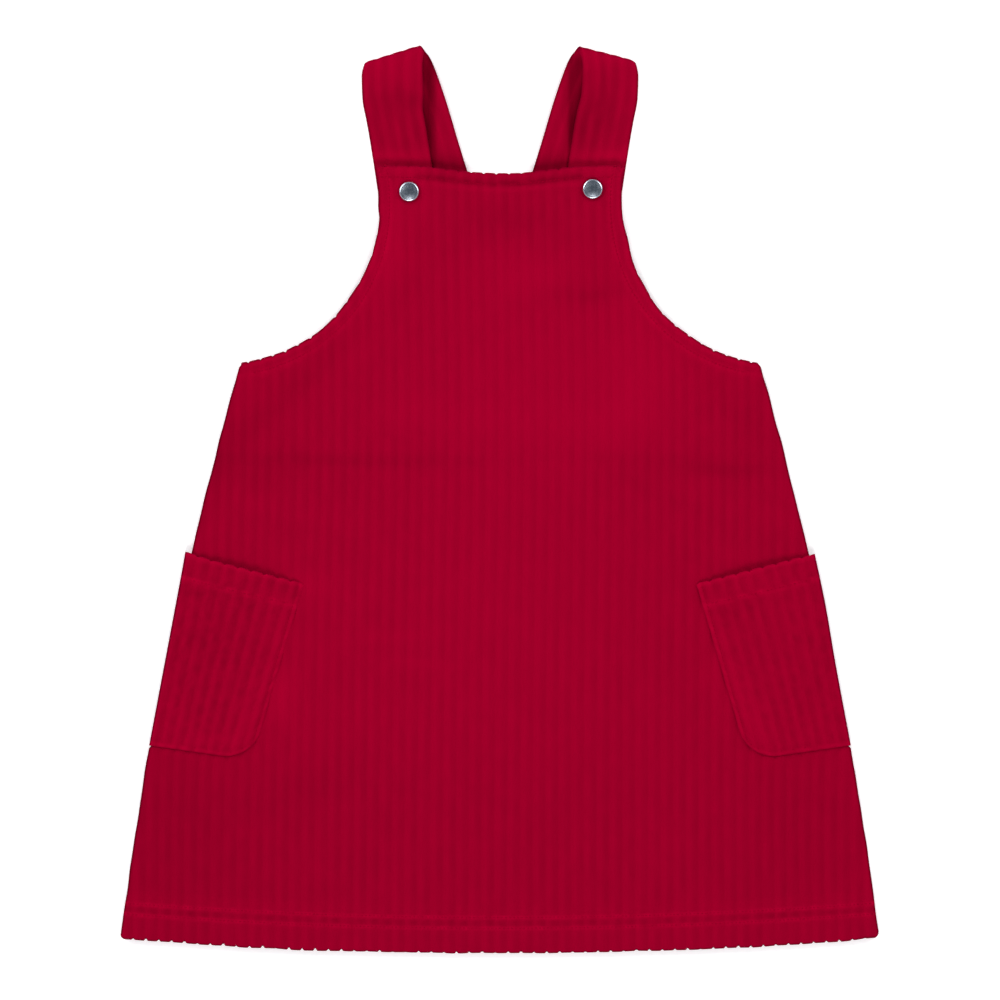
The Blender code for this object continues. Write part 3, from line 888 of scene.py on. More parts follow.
def makeBack(materials):
    edges = backEdges()
    rim = makeRim(edges, back["rimSpacing"])
    opened = openEdge(edges)

    def faceHeight(x, y):
        # its ribs are let into the underside, so that their crests lie on the floor
        press, shift, _ = seamField(x, y, opened)
        relief = back["ribDepth"] * (1 - ribShape(ribPhase(x, y))) * (1 - press)
        folds = max(0.0, creaseLift(x, y, backCreases)) * (1 - hemFold(x, y))
        return backUnder(x, y) + back["rest"] + relief + folds + max(0.0, -shift)

    def outerPoint(place, distance, index):
        kind, inward = rim["kinds"][index], rim["inward"][index]
        pull = scallop(ribPhase(*place), inward, distance, back["scallop"][kind])
        height = rolled(faceHeight(*place), backTop(*place), distance, back["roll"])
        return raised(place + inward * pull, height)

    def innerPoint(place, distance, _):
        return raised(place, rolled(backTop(*place), faceHeight(*place), distance, back["roll"]))

    def shadingAt(x, y, distance, kind):
        # painted light and shade: along the seams, in broad patches, and darker at the edges
        return seamField(x, y, opened)[2] + patchShading(x, y, backShadingPatches) - edgeShade(kind, distance)

    panel = buildShell("back_shell", back, rim, outerPoint, innerPoint, shadingAt, materials)
    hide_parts("back_panel")
    return panel, rim, faceHeight


# pockets: each a patch folded round the side, half on the front and half on the back
pocketWidth = (pocket["mouthInner"] - pocket["mouthOuter"]).length
pocketFootWidth = (pocket["footInner"] - pocket["footOuter"]).length
pocketLength = (pocket["footInner"] - pocket["mouthInner"]).length
pocketFold = pocket["foldReach"] / pocketWidth

# broad patches of painted light and shade over each pocket
pocketShadingPatches = {
    -1: [
        Brush(-158, -76, 16, 20, 10, -0.12),
        Brush(-120, -60, 9, 16, 0, 0.2),
        Brush(-158, -129, 24, 4, 6, 0.2),
    ],
    1: [
        Brush(164, -100, 12, 34, -10, -0.06),
        Brush(134, -46, 24, 5, -12, 0.12),
        Brush(174, -70, 7, 34, 10, -0.1),
    ],
}


def pocketPlace(across, down):
    mouth = pocket["mouthOuter"].lerp(pocket["mouthInner"], across)
    foot = pocket["footOuter"].lerp(pocket["footInner"], across)
    return mouth.lerp(foot, down)


def pocketEnd(across):
    # how far down the foot lies, drawn up where its inner corner is rounded
    radius = pocket["corner"]
    toEdge = min(radius, (1 - across) * pocketFootWidth)
    return 1 - (radius - math.sqrt(max(0.0, radius**2 - (radius - toEdge) ** 2))) / pocketLength


def pocketLow(across, down):
    # the patch's inner face over the front, gaping in the middle of its mouth
    place = pocketPlace(across, down)
    middle = math.sin(math.pi * clamp(across))
    gape = pocket["gape"] * middle * clamp(1 - down) ** 3
    bulge = pocket["bulge"] * middle * math.sin(math.pi * clamp(down))
    toSewn = min((1 - across) * pocketWidth, (1 - down) * pocketLength)
    gap = mix(pocket["edgeGap"], velour["gap"], smoothStep(toSewn / pocket["edgeThinReach"]))
    return frontCrest(place.x, place.y) + gap + gape + bulge


def pocketColumns():
    # (part, share): the front half from its inner edge, the round at the side, then the back half
    inner = [1 - inset * mm / pocketWidth for inset in pocket["edgeInsets"]]
    ribs = pocket["ribs"]
    lines = [(rib + share) / ribs for rib in reversed(range(ribs)) for share in reversed(velour["ribSteps"])]
    half = inner + [across for across in lines if pocketFold + 0.01 < across < inner[-1] - 0.008]
    columns = [("front", across) for across in half] + [("fold", turn) for turn in inSteps(0.0, 1.0, 14)]
    return columns + [("back", across) for across in reversed(half)]


def pocketPhase(part, share):
    ribs = pocket["ribs"]
    if part == "fold":
        return mix(pocketFold * ribs, -pocketFold * ribs - 0.5, share)
    return share * ribs if part == "front" else -share * ribs - 0.5


def pocketEdge(part, share, down):
    # how far down a point comes to lie, and how far it is from the patch's side, foot and mouth
    end = 1.0 if part == "fold" else pocketEnd(share)
    toSide = pocketWidth if part == "fold" else (1 - share) * pocketWidth
    slant = clamp(toSide / pocket["corner"])
    toFoot = end * (1 - down) * pocketLength * math.sqrt(slant * (2 - slant))
    return down * end, toSide, toFoot, down * end * pocketLength


def pocketPoint(part, share, down, outer, side):
    # a point of the patch's outer or inner face; side is -1 on the left
    down, toSide, toFoot, toMouth = pocketEdge(part, share, down)
    toSewn = min(toSide, toFoot)
    near = min(toSewn, toMouth)
    phase = pocketPhase(part, share)
    seam = max(bell(toSewn - pocket["edgeSeam"], pocket["edgeSeamWidth"]),
               bell(toMouth - pocket["mouthHem"], sewn["width"]))
    edge = 1 - smoothStep(toSewn / pocket["edgeThinReach"])
    onBand = 1 - smoothStep((toMouth - pocket["mouthHem"]) / pocket["mouthBandFade"])
    band = pocket["mouthBand"] * onBand * (1 - edge)
    relief = pocket["ribHeight"] * ribShape(phase)
    relief *= (1 - pocket["seamPress"] * seam) * (1 - pocket["edgePress"] * edge)
    relief *= 1 - rollDrop(near, pocket["reliefRoll"])
    wall = velour["wall"]
    thick = wall - pocket["edgeThin"] * edge
    height = thick + relief + band - pocket["seamDepth"] * seam if outer else 0.0
    height = rolled(height, thick - height, near, pocket["roll"])
    notch = pocket["scallop"] * bell(phase - round(phase), pocket["scallopWidth"])
    notch *= bell(toMouth, pocket["scallopReach"])
    beside = 1.0 if part == "fold" else bell(share, pocket["earWidth"])
    notch -= pocket["ear"][side] * beside * bell(toMouth, pocket["earReach"])
    swell = pocket["swell"][side] * bellAt(down, pocket["swellDown"])
    swell *= 1.0 if part == "fold" else (1 - share) ** 2
    if part == "front":
        place = pocketPlace(share, down)
        z = pocketLow(share, down) + height
    elif part == "back":
        place = pocketPlace(share, down)
        grooves = pocket["backRibHeight"] * (1 - ribShape(phase)) * (1 - rollDrop(near, pocket["reliefRoll"]))
        z = grooves + pocket["backSeamDepth"] * seam if outer else wall
        z = rolled(z, wall - z, near, pocket["roll"])
    else:
        # from the front half's face, out round the side, and in under the back half's
        start, rim = pocketPlace(pocketFold, down), pocketPlace(0.0, down)
        turn = math.radians(90 - 180 * share)
        high = pocketLow(pocketFold, down) + height
        low = wall - height if outer else wall
        out = abs(math.cos(turn)) ** pocket["foldPower"] * ((rim - start).length - (0.0 if outer else wall))
        place = start + (rim - start).normalized() * out
        up = math.copysign(abs(math.sin(turn)) ** pocket["foldPower"], math.sin(turn))
        z = max(0.0, (high + low) / 2 + (high - low) / 2 * up)
    return Vector((side * (place.x + swell), place.y - notch, z))


def pocketShadingAndTone(part, share, down, side):
    # painted light over the folded rims, along the mouth's hem and on the very lip, painted shade where the
    # fold turns under, and random cloudy tone; lighter by the corner and darker just below the hem
    lower, toSide, toFoot, toMouth = pocketEdge(part, share, down)
    ownPart = 0.3 if part == "back" else 0.0
    blotches = (share * 0.06 + ownPart, down * 0.1)
    fromHem = toMouth - pocket["mouthHem"]
    nap = pocket["lighterAllOver"][side]
    nap += bellAt(min(toSide, toFoot), pocket["rim"]) * uneven(*blotches, pocket["rimWave"], 8.0 + side)
    nap += bellAt(fromHem, pocket["hemRow"]) * uneven(*blotches, pocket["hemWave"], 8.0 + side)
    nap += uneven(share * 0.12, down * 0.1, pocket["cloudWave"], 14.0 + side)
    nap += pocket["lipLight"] * bellAt(toMouth, pocket["lip"])
    nap += pocket["cornerLighter"] * bellAt(toSide, pocket["cornerSide"]) * bellAt(toFoot, pocket["cornerFoot"])
    nap += pocket["belowHemDarker"] * bellAt(fromHem, pocket["belowHem"])
    if part != "back":
        place = pocketPlace(share if part == "front" else 0.0, lower)
        nap += patchShading(side * place.x, place.y, pocketShadingPatches[side])
    if part == "fold":
        # painted shade where the fold turns under
        nap -= pocket["foldShade"] * stepAt(share, pocket["foldShadeFrom"])
    return nap


def makePocket(hand, side, materials):
    columns = pocketColumns()
    plain = round(pocketLength / pocket["rowSpacing"])
    near = [inset * mm / pocketLength for inset in pocket["edgeInsets"] if inset < 2]
    rows = near + [row / plain for row in range(2, plain - 1)] + [1 - share for share in reversed(near)]
    form, flat, addPoint = newCloth()
    grids = []
    for outer in (True, False):
        grid = []
        for column, (part, share) in enumerate(columns):
            line = []
            for row, down in enumerate(rows):
                onRim = column in (0, len(columns) - 1) or row in (0, len(rows) - 1)
                if onRim and not outer:
                    line.append(grids[0][column][row])
                    continue
                point = pocketPoint(part, share, down, outer, side)
                flatPlace = (pocketPhase(part, share), down * pocketLength / velour["ribPitch"])
                line.append(addPoint(point, pocketShadingAndTone(part, share, down, side), flatPlace))
            grid.append(line)
        grids.append(grid)
    for slot, grid in enumerate(grids):
        for first, second in zip(grid, grid[1:]):
            for row in range(1, len(rows)):
                face = form.faces.new((first[row - 1], first[row], second[row], second[row - 1]))
                face.material_index = slot
    patch = clothObject("pocket_shell_" + hand, form, flat, materials)
    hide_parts("pocket_" + hand)
    return patch


# straps: self-faced strips from the back's top, over the shoulder fold and under the bib
strap = {
    "width": 30.4 * mm,
    "base": 1.1 * mm,
    "ribHeight": 0.3 * mm,
    "ribShift": -0.85 * mm,
    "edgeRound": 0.9 * mm,
    "edgeRib": 0.75,  # how much of a rib's height stands at the strip's edges
    "edgeRibReach": 1.2 * mm,
    "loop": 2.75 * mm,
    "loopFrom": -12 * mm,  # the strip starts to rise this far before the fold
    "steps": 9,  # sections between two stations
    "spacing": 0.8 * mm,  # between points across
    "outerRound": 2.4 * mm,  # of the fold's corners
    "innerRound": 1.5 * mm,
    "roundReach": 7.0 * mm,
    "spreadIn": {-1: 1.7 * mm, 1: -1.0 * mm},  # how much wider each strip spreads beside its fold
    "spreadOut": 0.5 * mm,
    "spreadReach": (4 * mm, 22 * mm, 34 * mm),  # from the fold it grows, holds and has ended
    "spreadEase": 8 * mm,
    "foldSpread": 1.4 * mm,
    "foldSpreadReach": 6 * mm,
    "curl": 3.4 * mm,  # how high the back part stands inside the crest beside the front part
    "curlFoot": 38.5 * mm,
    "curlCrest": 32.0 * mm,
    "curlFromY": 168.0 * mm,
    "curlToY": 196.0 * mm,
    "curlEnd": (-14 * mm, 12 * mm),
    "sway": 0.6 * mm,
    "swayReach": 18 * mm,
    # from here on, painted shade and some random tone, and where: a middle and a width, or a start and a
    # reach
    "edgeShade": 0.75,
    "innerEdgeShade": 0.4,
    "edgeShadeWidth": 1.0 * mm,
    "foldShade": 0.75,
    "foldShadePeak": (0.6 * mm, 1.2 * mm),
    "blotchNap": 0.13,
    "blotchSize": (5 * mm, 9 * mm),
    "backLighter": 0.08,
    "wedgeShade": (0.58, 0.45),  # low down and high up on the back part's shaded side
    "wedgeShadeY": (200 * mm, 14 * mm),
    "wedgeFrom": {-1: 32.6 * mm, 1: 35.2 * mm},  # how far out it begins
    "wedgeWidth": 2.5 * mm,
    "wedgeFootY": (164 * mm, 10 * mm),
    "wedgeTop": {-1: 5 * mm, 1: 10 * mm},  # how far from the fold it ends
    "wedgeTopFade": 5 * mm,
    "streakNap": 0.2,
    "streakSize": (2 * mm, 30 * mm),
    "bibShade": 0.4,
    "bibShadeY": (178 * mm, 4.5 * mm),
}

# the patches of painted light and shade down each front part
strapShadingPatches = {
    -1: [
        Brush(-57, 231, 22, 10, 0, 0.22),
        Brush(-57, 224, 22, 6, 0, 0.12),
        Brush(-52, 211.5, 12, 5.5, 0, -0.26),
        Brush(-64, 205, 6, 6, 0, -0.08),
        Brush(-57, 194, 16, 7, 0, -0.03),
        Brush(-57, 182, 24, 3, 0, 0.42),
    ],
    1: [
        Brush(57, 233, 22, 7, 0, 0.16),
        Brush(50, 206, 9, 15, 0, -0.18),
        Brush(43, 194, 5, 12, 8, -0.2),
        Brush(58, 209, 6, 12, 0, -0.1),
        Brush(66, 212, 5, 12, 0, 0.1),
        Brush(58, 183, 24, 5, 0, 0.2),
        Brush(62, 182, 18, 3, 0, 0.42),
    ],
}

strapFloor = strap["base"] / 2
strapSeam = velour["wall"] + velour["gap"] + strap["base"] / 2
strapFront = strap["base"] * 1.5 + 2 * strap["ribHeight"] + velour["gap"]
strapApex = 7  # the station at the fold

Station = namedtuple("Station", "x y z tilt")

# the middle of the strap's thickness; x is outward from the dress's middle
# and tilt the rise of the strap's width in degrees
strapStations = [
    Station(19.6, 132.0, strapSeam, 18.0),
    Station(24.3, 147.0, strapSeam, 18.0),
    Station(29.0, 161.0, strapFloor, 18.0),
    Station(36.0, 183.0, strapFloor, 18.0),
    Station(43.5, 208.0, strapFloor, 18.0),
    Station(50.6, 227.5, strapFloor, 18.0),
    Station(55.0, 233.4, strapFloor + 0.25 * strap["loop"], 17.5),
    Station(57.2, 235.3, strapFloor + strap["loop"], 16.4),
    Station(57.6, 233.0, strapFloor + 1.8 * strap["loop"], 14.8),
    Station(57.8, 226.0, strapFloor + 2 * strap["loop"], 11.0),
    Station(57.0, 211.0, strapFloor + 1.85 * strap["loop"], 8.5),
    Station(54.3, 195.0, strapFront + 1.6 * mm, 8.4),
    Station(51.6, 178.0, strapFront, 8.4),
    Station(47.1, 148.0, strapFront, 8.4),
]


def strapPath(side):
    # a smooth curve through the stations, each with its tilt as a fourth number
    knots = [Vector((side * row.x * mm, row.y * mm, row.z, row.tilt)) for row in strapStations]
    ends = [knots[0] * 2 - knots[1]] + knots + [knots[-1] * 2 - knots[-2]]
    path = []
    for before, start, end, after in zip(ends, ends[1:], ends[2:], ends[3:]):
        for step in range(strap["steps"]):
            t = step / strap["steps"]
            bend = (end - before) * (t - 2 * t**2 + t**3) + (after - start) * (t**3 - t**2)
            path.append(start * (1 - 3 * t**2 + 2 * t**3) + end * (3 * t**2 - 2 * t**3) + bend / 2)
    return path + [knots[-1]]


def strapProfile(outerRibs):
    # (place across, height from the middle, rib phase) once round the strip
    half, rounding = strap["width"] / 2, strap["edgeRound"]
    count = round((strap["width"] - 2 * rounding) / strap["spacing"])
    turns = [math.radians(angle) for angle in (0, 22, 45, 68)]
    profile = []
    for upper in (1, -1):
        ribs = strap["ribHeight"] * (outerRibs if upper > 0 else 1.0)
        face = []
        for place in inSteps(-half + rounding, half - rounding, count):
            phase = (place - strap["ribShift"]) / velour["ribPitch"]
            ease = smoothStep((half - abs(place) - rounding) / strap["edgeRibReach"])
            face.append((place, strap["base"] / 2 + ribs * mix(strap["edgeRib"], ribShape(phase), ease)))
        high = face[0][1]
        left = [(-half + rounding * (1 - math.cos(turn)), high * math.sin(turn)) for turn in turns]
        right = [(-place, height) for place, height in reversed(left[1:])]
        loop = left + face + right
        profile += loop if upper > 0 else [(-place, -height) for place, height in loop]
    return [(place, height, (place - strap["ribShift"]) / velour["ribPitch"]) for place, height in profile]


def strapRun(path):
    # how far along the strip each section lies
    run = [0.0]
    for first, second in zip(path, path[1:]):
        run.append(run[-1] + (second - first).to_3d().length)
    return run


def strapSpread(place, fromApex, side):
    # the strip lies a little wider or narrower beside its fold
    grown, near, far = strap["spreadReach"]
    share = smoothStep(fromApex / grown) * (1 - smoothStep((fromApex - near) / (far - near)))
    ease = clamp(abs(place) / strap["spreadEase"])
    if place < 0:
        return place - share * strap["spreadOut"] * ease
    fold = strap["foldSpread"] * bell(fromApex, strap["foldSpreadReach"])
    return place + (share * strap["spreadIn"][side] + fold) * ease


def strapBend(point, place, fromApex, side):
    # the fold's corners draw back, and the back part stands up inside the crest beside the front part
    rounding = strap["innerRound"] if place > 0 else strap["outerRound"]
    toEdge = strap["width"] / 2 - abs(place)
    back = rounding * rollDrop(toEdge, rounding) * bell(fromApex, strap["roundReach"])
    if fromApex >= 0:
        return Vector((0, -back, 0))
    lift = strap["curl"] * (1 - stepAt(fromApex, strap["curlEnd"]))
    lift *= smoothStep((strap["curlFoot"] - side * point.x) / (strap["curlFoot"] - strap["curlCrest"]))
    lift *= smoothStep((point.y - strap["curlFromY"]) / (strap["curlToY"] - strap["curlFromY"]))
    return Vector((0, -back, lift))


def patchyAt(across, along, size, seed):
    return noise.noise(Vector((across / size[0], along / size[1], seed)))


def strapShadingAndTone(point, place, upper, fromApex, side):
    # painted shade in the fold and painted shadow just above the bib, and patches of painted light and shade
    # with random blotches down the front
    onFront = fromApex > 0
    # painted shade along the strip's edges and on the fold's crest
    shade = strap["innerEdgeShade"] if place > 0 and onFront else strap["edgeShade"]
    nap = -shade * bell(strap["width"] / 2 - abs(place), strap["edgeShadeWidth"])
    nap -= strap["foldShade"] * bellAt(fromApex, strap["foldShadePeak"])
    if upper != onFront:
        return nap
    if onFront:
        blotch = patchyAt(place, point.y, strap["blotchSize"], 6.0 + side)
        return nap + patchShading(point.x, point.y, strapShadingPatches[side]) + strap["blotchNap"] * blotch
    # painted shadow on the back part beside the front part inside the fold, with random streaks, and a
    # painted shadow from the bib's edge
    wedge = smoothStep((side * point.x - strap["wedgeFrom"][side]) / strap["wedgeWidth"])
    wedge *= 1 - smoothStep((fromApex + strap["wedgeTop"][side]) / strap["wedgeTopFade"])
    wedge *= stepAt(point.y, strap["wedgeFootY"])
    depth = mix(*strap["wedgeShade"], stepAt(point.y, strap["wedgeShadeY"]))
    depth += strap["streakNap"] * patchyAt(place, point.y, strap["streakSize"], 3.0)
    return nap + strap["backLighter"] - depth * wedge - strap["bibShade"] * bellAt(point.y, strap["bibShadeY"])


def makeStrap(hand, side, materials):
    path = strapPath(side)
    run = strapRun(path)
    apexRun = run[strap["steps"] * strapApex]
    form, flat, addPoint = newCloth()
    rings = []
    for index, station in enumerate(path):
        before, after = path[max(0, index - 1)], path[min(len(path) - 1, index + 1)]
        fromApex = run[index] - apexRun
        lean = math.radians(station.w)
        width = Vector((-side * math.cos(lean), math.sin(lean), 0))
        tangent = (after - before).to_3d()
        tangent = (tangent - width * tangent.dot(width)).normalized()
        outward = tangent.cross(width) * -side
        rise = smoothStep((station.z - strapFloor) / strap["loop"]) if fromApex > strap["loopFrom"] else 0.0
        ring = []
        for place, height, phase in strapProfile(rise):
            sway = strap["sway"] * ripple(place * side, run[index], strap["swayReach"], 5.0 + side) * rise
            point = station.to_3d() + width * strapSpread(place, fromApex, side) + outward * (height + sway)
            point += strapBend(point, place, fromApex, side)
            nap = strapShadingAndTone(point, place, height > 0, fromApex, side)
            ring.append(addPoint(point, nap, (phase, run[index] / velour["ribPitch"])))
        rings.append(ring)
    ends = joinRings(form, rings)
    strip = clothObject("strap_shell_" + hand, form, flat, materials, ends)
    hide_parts("strap_" + hand)
    return strip, run[-1]


# snaps: turned caps over the bib
def turnedPiece(name, profile, turns, material):
    # spins a profile of (radius, height) round the upright axis
    form = bmesh.new()
    verts = [form.verts.new((radius, 0, height)) for radius, height in profile]
    for first, second in zip(verts, verts[1:]):
        form.edges.new((first, second))
    bmesh.ops.spin(form, geom=form.verts[:] + form.edges[:], axis=(0, 0, 1), cent=(0, 0, 0),
                   angle=math.tau, steps=turns)
    bmesh.ops.remove_doubles(form, verts=form.verts, dist=0.001 * mm)
    return toObject(name, form, [material])


def makeSnapCap(hand, side, metal):
    x, y = snap["centres"][hand]
    radius, dome = snap["radius"], snap["domeRadius"]
    edgeTop = snap["height"] - snap["dome"]
    crown = [(dome * share, snap["height"] - snap["dome"] * share**2) for share in inSteps(0.0, 1.0, 10)]
    lip = [(dome + (radius - dome) * math.sin(turn), mix(edgeTop, snap["rimHeight"], 1 - math.cos(turn)))
           for turn in inSteps(0.0, math.radians(90), 10)[1:]]
    rimInset, rimRise = snap["rimRound"]
    under = [(radius - rimInset, rimRise), (radius - snap["footInset"], 0.0), (snap["shank"], 0.0),
             (snap["shank"], -snap["shankDepth"]), (0.0, -snap["shankDepth"])]
    cap = turnedPiece("cap_" + hand, crown + lip + under, snap["turns"], metal)
    cap.location = (x, y, frontCrest(x, y) - snap["sink"])
    down, out = snap["tiltDown"][side], side * snap["tiltOut"][side]
    cap.rotation_euler = Euler((math.radians(down), math.radians(out), 0))
    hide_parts("snap_cap_" + hand)
    return cap


# sewing: short arched stitches sunk a little into the pile
def addStitch(form, middle, along, up):
    # up is 1 on a face that looks up and -1 on one that looks down
    radius, corners = sewn["threadRadius"], sewn["threadCorners"]
    along, upward = along.normalized(), Vector((0, 0, up))
    across = along.cross(upward).normalized()
    rings = []
    for share, thick in ((-0.5, 0.35), (-0.3, 0.9), (0.0, 1.0), (0.3, 0.9), (0.5, 0.35)):
        rise = sewn["stitchLift"] * (1 - (2 * share) ** 2) - radius * sewn["threadSink"]
        centre = middle + along * (share * sewn["stitchLength"]) + upward * rise
        ring = []
        for turn in inSteps(0.0, math.tau, corners)[:-1]:
            spoke = across * math.cos(turn) + upward * math.sin(turn)
            ring.append(form.verts.new(centre + spoke * radius * thick))
        rings.append(ring)
    joinRings(form, rings)


def sewAlong(form, line, heightAt, up):
    # line is in the plane; heightAt gives the cloth's face
    places = spread(line, sewn["stitchPitch"])
    for start, end in zip(places, places[1:]):
        middle = start.lerp(end, 0.5)
        first, centre, last = [raised(place, heightAt(*place)) for place in (start, middle, end)]
        addStitch(form, centre, last - first, up)


def setIn(line, insets):
    # a line set in from an edge that runs clockwise
    moved = []
    for index in range(len(line)):
        along = line[min(index + 1, len(line) - 1)] - line[max(index - 1, 0)]
        moved.append(line[index] + Vector((along.y, -along.x)).normalized() * insets[index])
    return moved


def panelStitches(name, edges, heightAt, up, thread):
    form = bmesh.new()
    for inset in sewn["hemInsets"]:
        reach = sideHalfWidth(dress["hemY"] + inset) - sewn["hemEnd"]
        sewAlong(form, [Vector((x, hemLine(x) + inset)) for x in inSteps(-reach, reach, 80)], heightAt, up)
    for half in (edges[:2], edges[-2:]):
        line, insets = [], []
        for kind, stretch in half:
            line += spread(stretch, 1.5 * mm)
            insets += [sewn["edgeInsets"][kind]] * (len(line) - len(insets))
        sewAlong(form, setIn(line, insets)[3:-4], heightAt, up)  # it stops short of both ends
    return toObject(name, form, [thread])


def pocketStitches(hand, side, thread):
    form = bmesh.new()
    start, seam = pocketFold + 0.02, 1 - pocket["edgeSeam"] / pocketWidth
    mouth = [(share, pocket["mouthHem"] / pocketLength) for share in inSteps(start, seam, 30)]
    inner = [(seam, down) for down in inSteps(0.02, 0.97, 50)]
    foot = [(share, 1 - pocket["edgeSeam"] / pocketLength) for share in inSteps(seam, start, 30)]
    for part, up in (("front", 1), ("back", -1)):
        for line in (mouth, inner + foot):
            points = [pocketPoint(part, share, down, True, side) for share, down in line]
            places = spread(points, sewn["stitchPitch"])
            for first, last in zip(places, places[1:]):
                addStitch(form, first.lerp(last, 0.5), last - first, up)
    return toObject("pocket_stitches_" + hand, form, [thread])


# materials
def feed(tree, socket, value):
    # a socket takes a plain value, or what another node puts out
    if isinstance(value, bpy.types.NodeSocket):
        tree.links.new(value, socket)
    else:
        socket.default_value = value


def addNode(tree, kind, values=None, **settings):
    node = tree.nodes.new("ShaderNode" + kind)
    for name, setting in settings.items():
        setattr(node, name, setting)
    for label, value in (values or {}).items():
        feed(tree, node.inputs[label], value)
    return node


def newGroup(name, inputs, outputs):
    # inputs has each one's starting value, outputs each one's kind
    group = bpy.data.node_groups.new(name, "ShaderNodeTree")
    for label, value in inputs.items():
        kind = "NodeSocketColor" if isinstance(value, tuple) else "NodeSocketFloat"
        socket = group.interface.new_socket(label, in_out="INPUT", socket_type=kind)
        socket.default_value = value
    for label, kind in outputs.items():
        group.interface.new_socket(label, in_out="OUTPUT", socket_type=kind)
    return group, group.nodes.new("NodeGroupInput").outputs, group.nodes.new("NodeGroupOutput").inputs


def mathNode(tree, operation, first, second=0.0):
    return addNode(tree, "Math", {0: first, 1: second}, operation=operation).outputs[0]


def mapRange(tree, value, fromLow, fromHigh, toLow, toHigh, smooth=False):
    values = {"Value": value, "From Min": fromLow, "From Max": fromHigh, "To Min": toLow, "To Max": toHigh}
    kind = "SMOOTHSTEP" if smooth else "LINEAR"
    return addNode(tree, "MapRange", values, interpolation_type=kind).outputs["Result"]


def mixColour(tree, share, first, second):
    values = {"Factor": share, "A": first, "B": second}
    return addNode(tree, "Mix", values, data_type="RGBA").outputs["Result"]


def noiseNode(tree, vector, scale, detail):
    return addNode(tree, "TexNoise", {"Vector": vector, "Scale": scale, "Detail": detail}).outputs["Fac"]


def pileGroup():
    # the short pile: flecks a fraction of a millimetre across, over broader lean of the nap
    group, given, result = newGroup("pile", {"Fleck Scale": 1500.0}, {
        "Fleck": "NodeSocketFloat", "Lean": "NodeSocketFloat", "Height": "NodeSocketFloat"})
    place = addNode(group, "TexCoord").outputs["Object"]
    fleck = noiseNode(group, place, given["Fleck Scale"], 3.0)
    lean = noiseNode(group, place, 42.0, 2.0)
    feed(group, result["Fleck"], mapRange(group, fleck, 0.3, 0.7, 0.0, 1.0))
    feed(group, result["Lean"], mapRange(group, lean, 0.3, 0.7, 0.0, 1.0, True))
    feed(group, result["Height"], fleck)
    return group


def ribShadingGroup():
    # painted sheen beside each groove over darker crests, random streaks and flecks, then the painted light
    # and shade that the cloth's points carry
    group, given, result = newGroup("ribShading", {
        "Crest": (0.3, 0.0, 0.02, 1), "Groove": (0.35, 0.0, 0.03, 1), "Shade": (0.25, 0.0, 0.02, 1),
        "Rib Contrast": 0.8, "Streaks": 0.5, "Streak Length": 0.4, "Fleck": 0.5, "Lean": 0.5,
        "Light": (0.45, 0.0, 0.03, 1), "Dark": (0.2, 0.0, 0.01, 1)}, {"Colour": "NodeSocketColor"})

    def add(first, second):
        return mathNode(group, "ADD", first, second)

    def multiply(first, second):
        return mathNode(group, "MULTIPLY", first, second)

    def noiseAt(x, y, detail):
        place = addNode(group, "CombineXYZ", {"X": x, "Y": y}).outputs["Vector"]
        return noiseNode(group, place, 1.0, detail)

    flat = addNode(group, "UVMap", uv_map="cloth").outputs["UV"]
    split = addNode(group, "SeparateXYZ", {"Vector": flat}).outputs
    u, v = split["X"], split["Y"]
    # the whole number added keeps the phase above 0, and the painted sheen lies a little off the groove
    away = mathNode(group, "PINGPONG", add(u, 100.0 - 0.16), 0.5)
    groove = mapRange(group, away, 0.0, 0.47, 1.0, 0.0, True)
    rib = multiply(mathNode(group, "FLOOR", add(u, 100.0)), 3.7)
    streak = noiseAt(add(rib, multiply(u, 0.9)), multiply(v, given["Streak Length"]), 2.0)
    streak = mapRange(group, streak, 0.3, 0.7, 0.0, 1.0, True)
    nearestGroove = mathNode(group, "FLOOR", add(u, 100.5))
    patchy = noiseAt(multiply(nearestGroove, 1.37), multiply(v, 0.5), 3.0)
    # painted sheen: the colour goes toward Groove beside each groove
    light = multiply(groove, given["Rib Contrast"])
    light = multiply(light, mapRange(group, patchy, 0.32, 0.64, 0.3, 1.0, True))
    colour = mixColour(group, light, given["Crest"], given["Groove"])
    streaked = multiply(multiply(streak, given["Streaks"]), mathNode(group, "SUBTRACT", 1.0, groove))
    colour = mixColour(group, streaked, colour, given["Shade"])
    worn = add(multiply(given["Fleck"], 0.12), multiply(given["Lean"], 0.12))
    colour = mixColour(group, worn, colour, given["Shade"])
    # painted light and shade from the cloth's points: toward Light above 0, toward Dark below 0
    nap = addNode(group, "Attribute", attribute_name="nap").outputs["Fac"]
    colour = mixColour(group, mapRange(group, nap, 0.0, 1.0, 0.0, 1.0), colour, given["Light"])
    colour = mixColour(group, mapRange(group, nap, -1.0, 0.0, 1.0, 0.0), colour, given["Dark"])
    feed(group, result["Colour"], colour)
    return group


def scuffGroup():
    # fine rubbing marks and smudges on metal
    group, given, result = newGroup("scuffs", {"Low": 0.1, "High": 0.3}, {
        "Roughness": "NodeSocketFloat", "Height": "NodeSocketFloat"})
    place = addNode(group, "TexCoord").outputs["Object"]
    smudge = noiseNode(group, place, 700.0, 4.0)
    feed(group, result["Roughness"], mapRange(group, smudge, 0.35, 0.7, given["Low"], given["High"]))
    feed(group, result["Height"], noiseNode(group, place, 2600.0, 2.0))
    return group


def newMaterial(name, values):
    material = bpy.data.materials.new(name)
    material.use_nodes = True
    tree = material.node_tree
    shader = tree.nodes["Principled BSDF"]
    for label, value in values.items():
        feed(tree, shader.inputs[label], value)
    return material, tree, shader.inputs


def bumpNode(tree, height, strength, distance):
    values = {"Height": height, "Strength": strength, "Distance": distance}
    return addNode(tree, "Bump", values).outputs["Normal"]


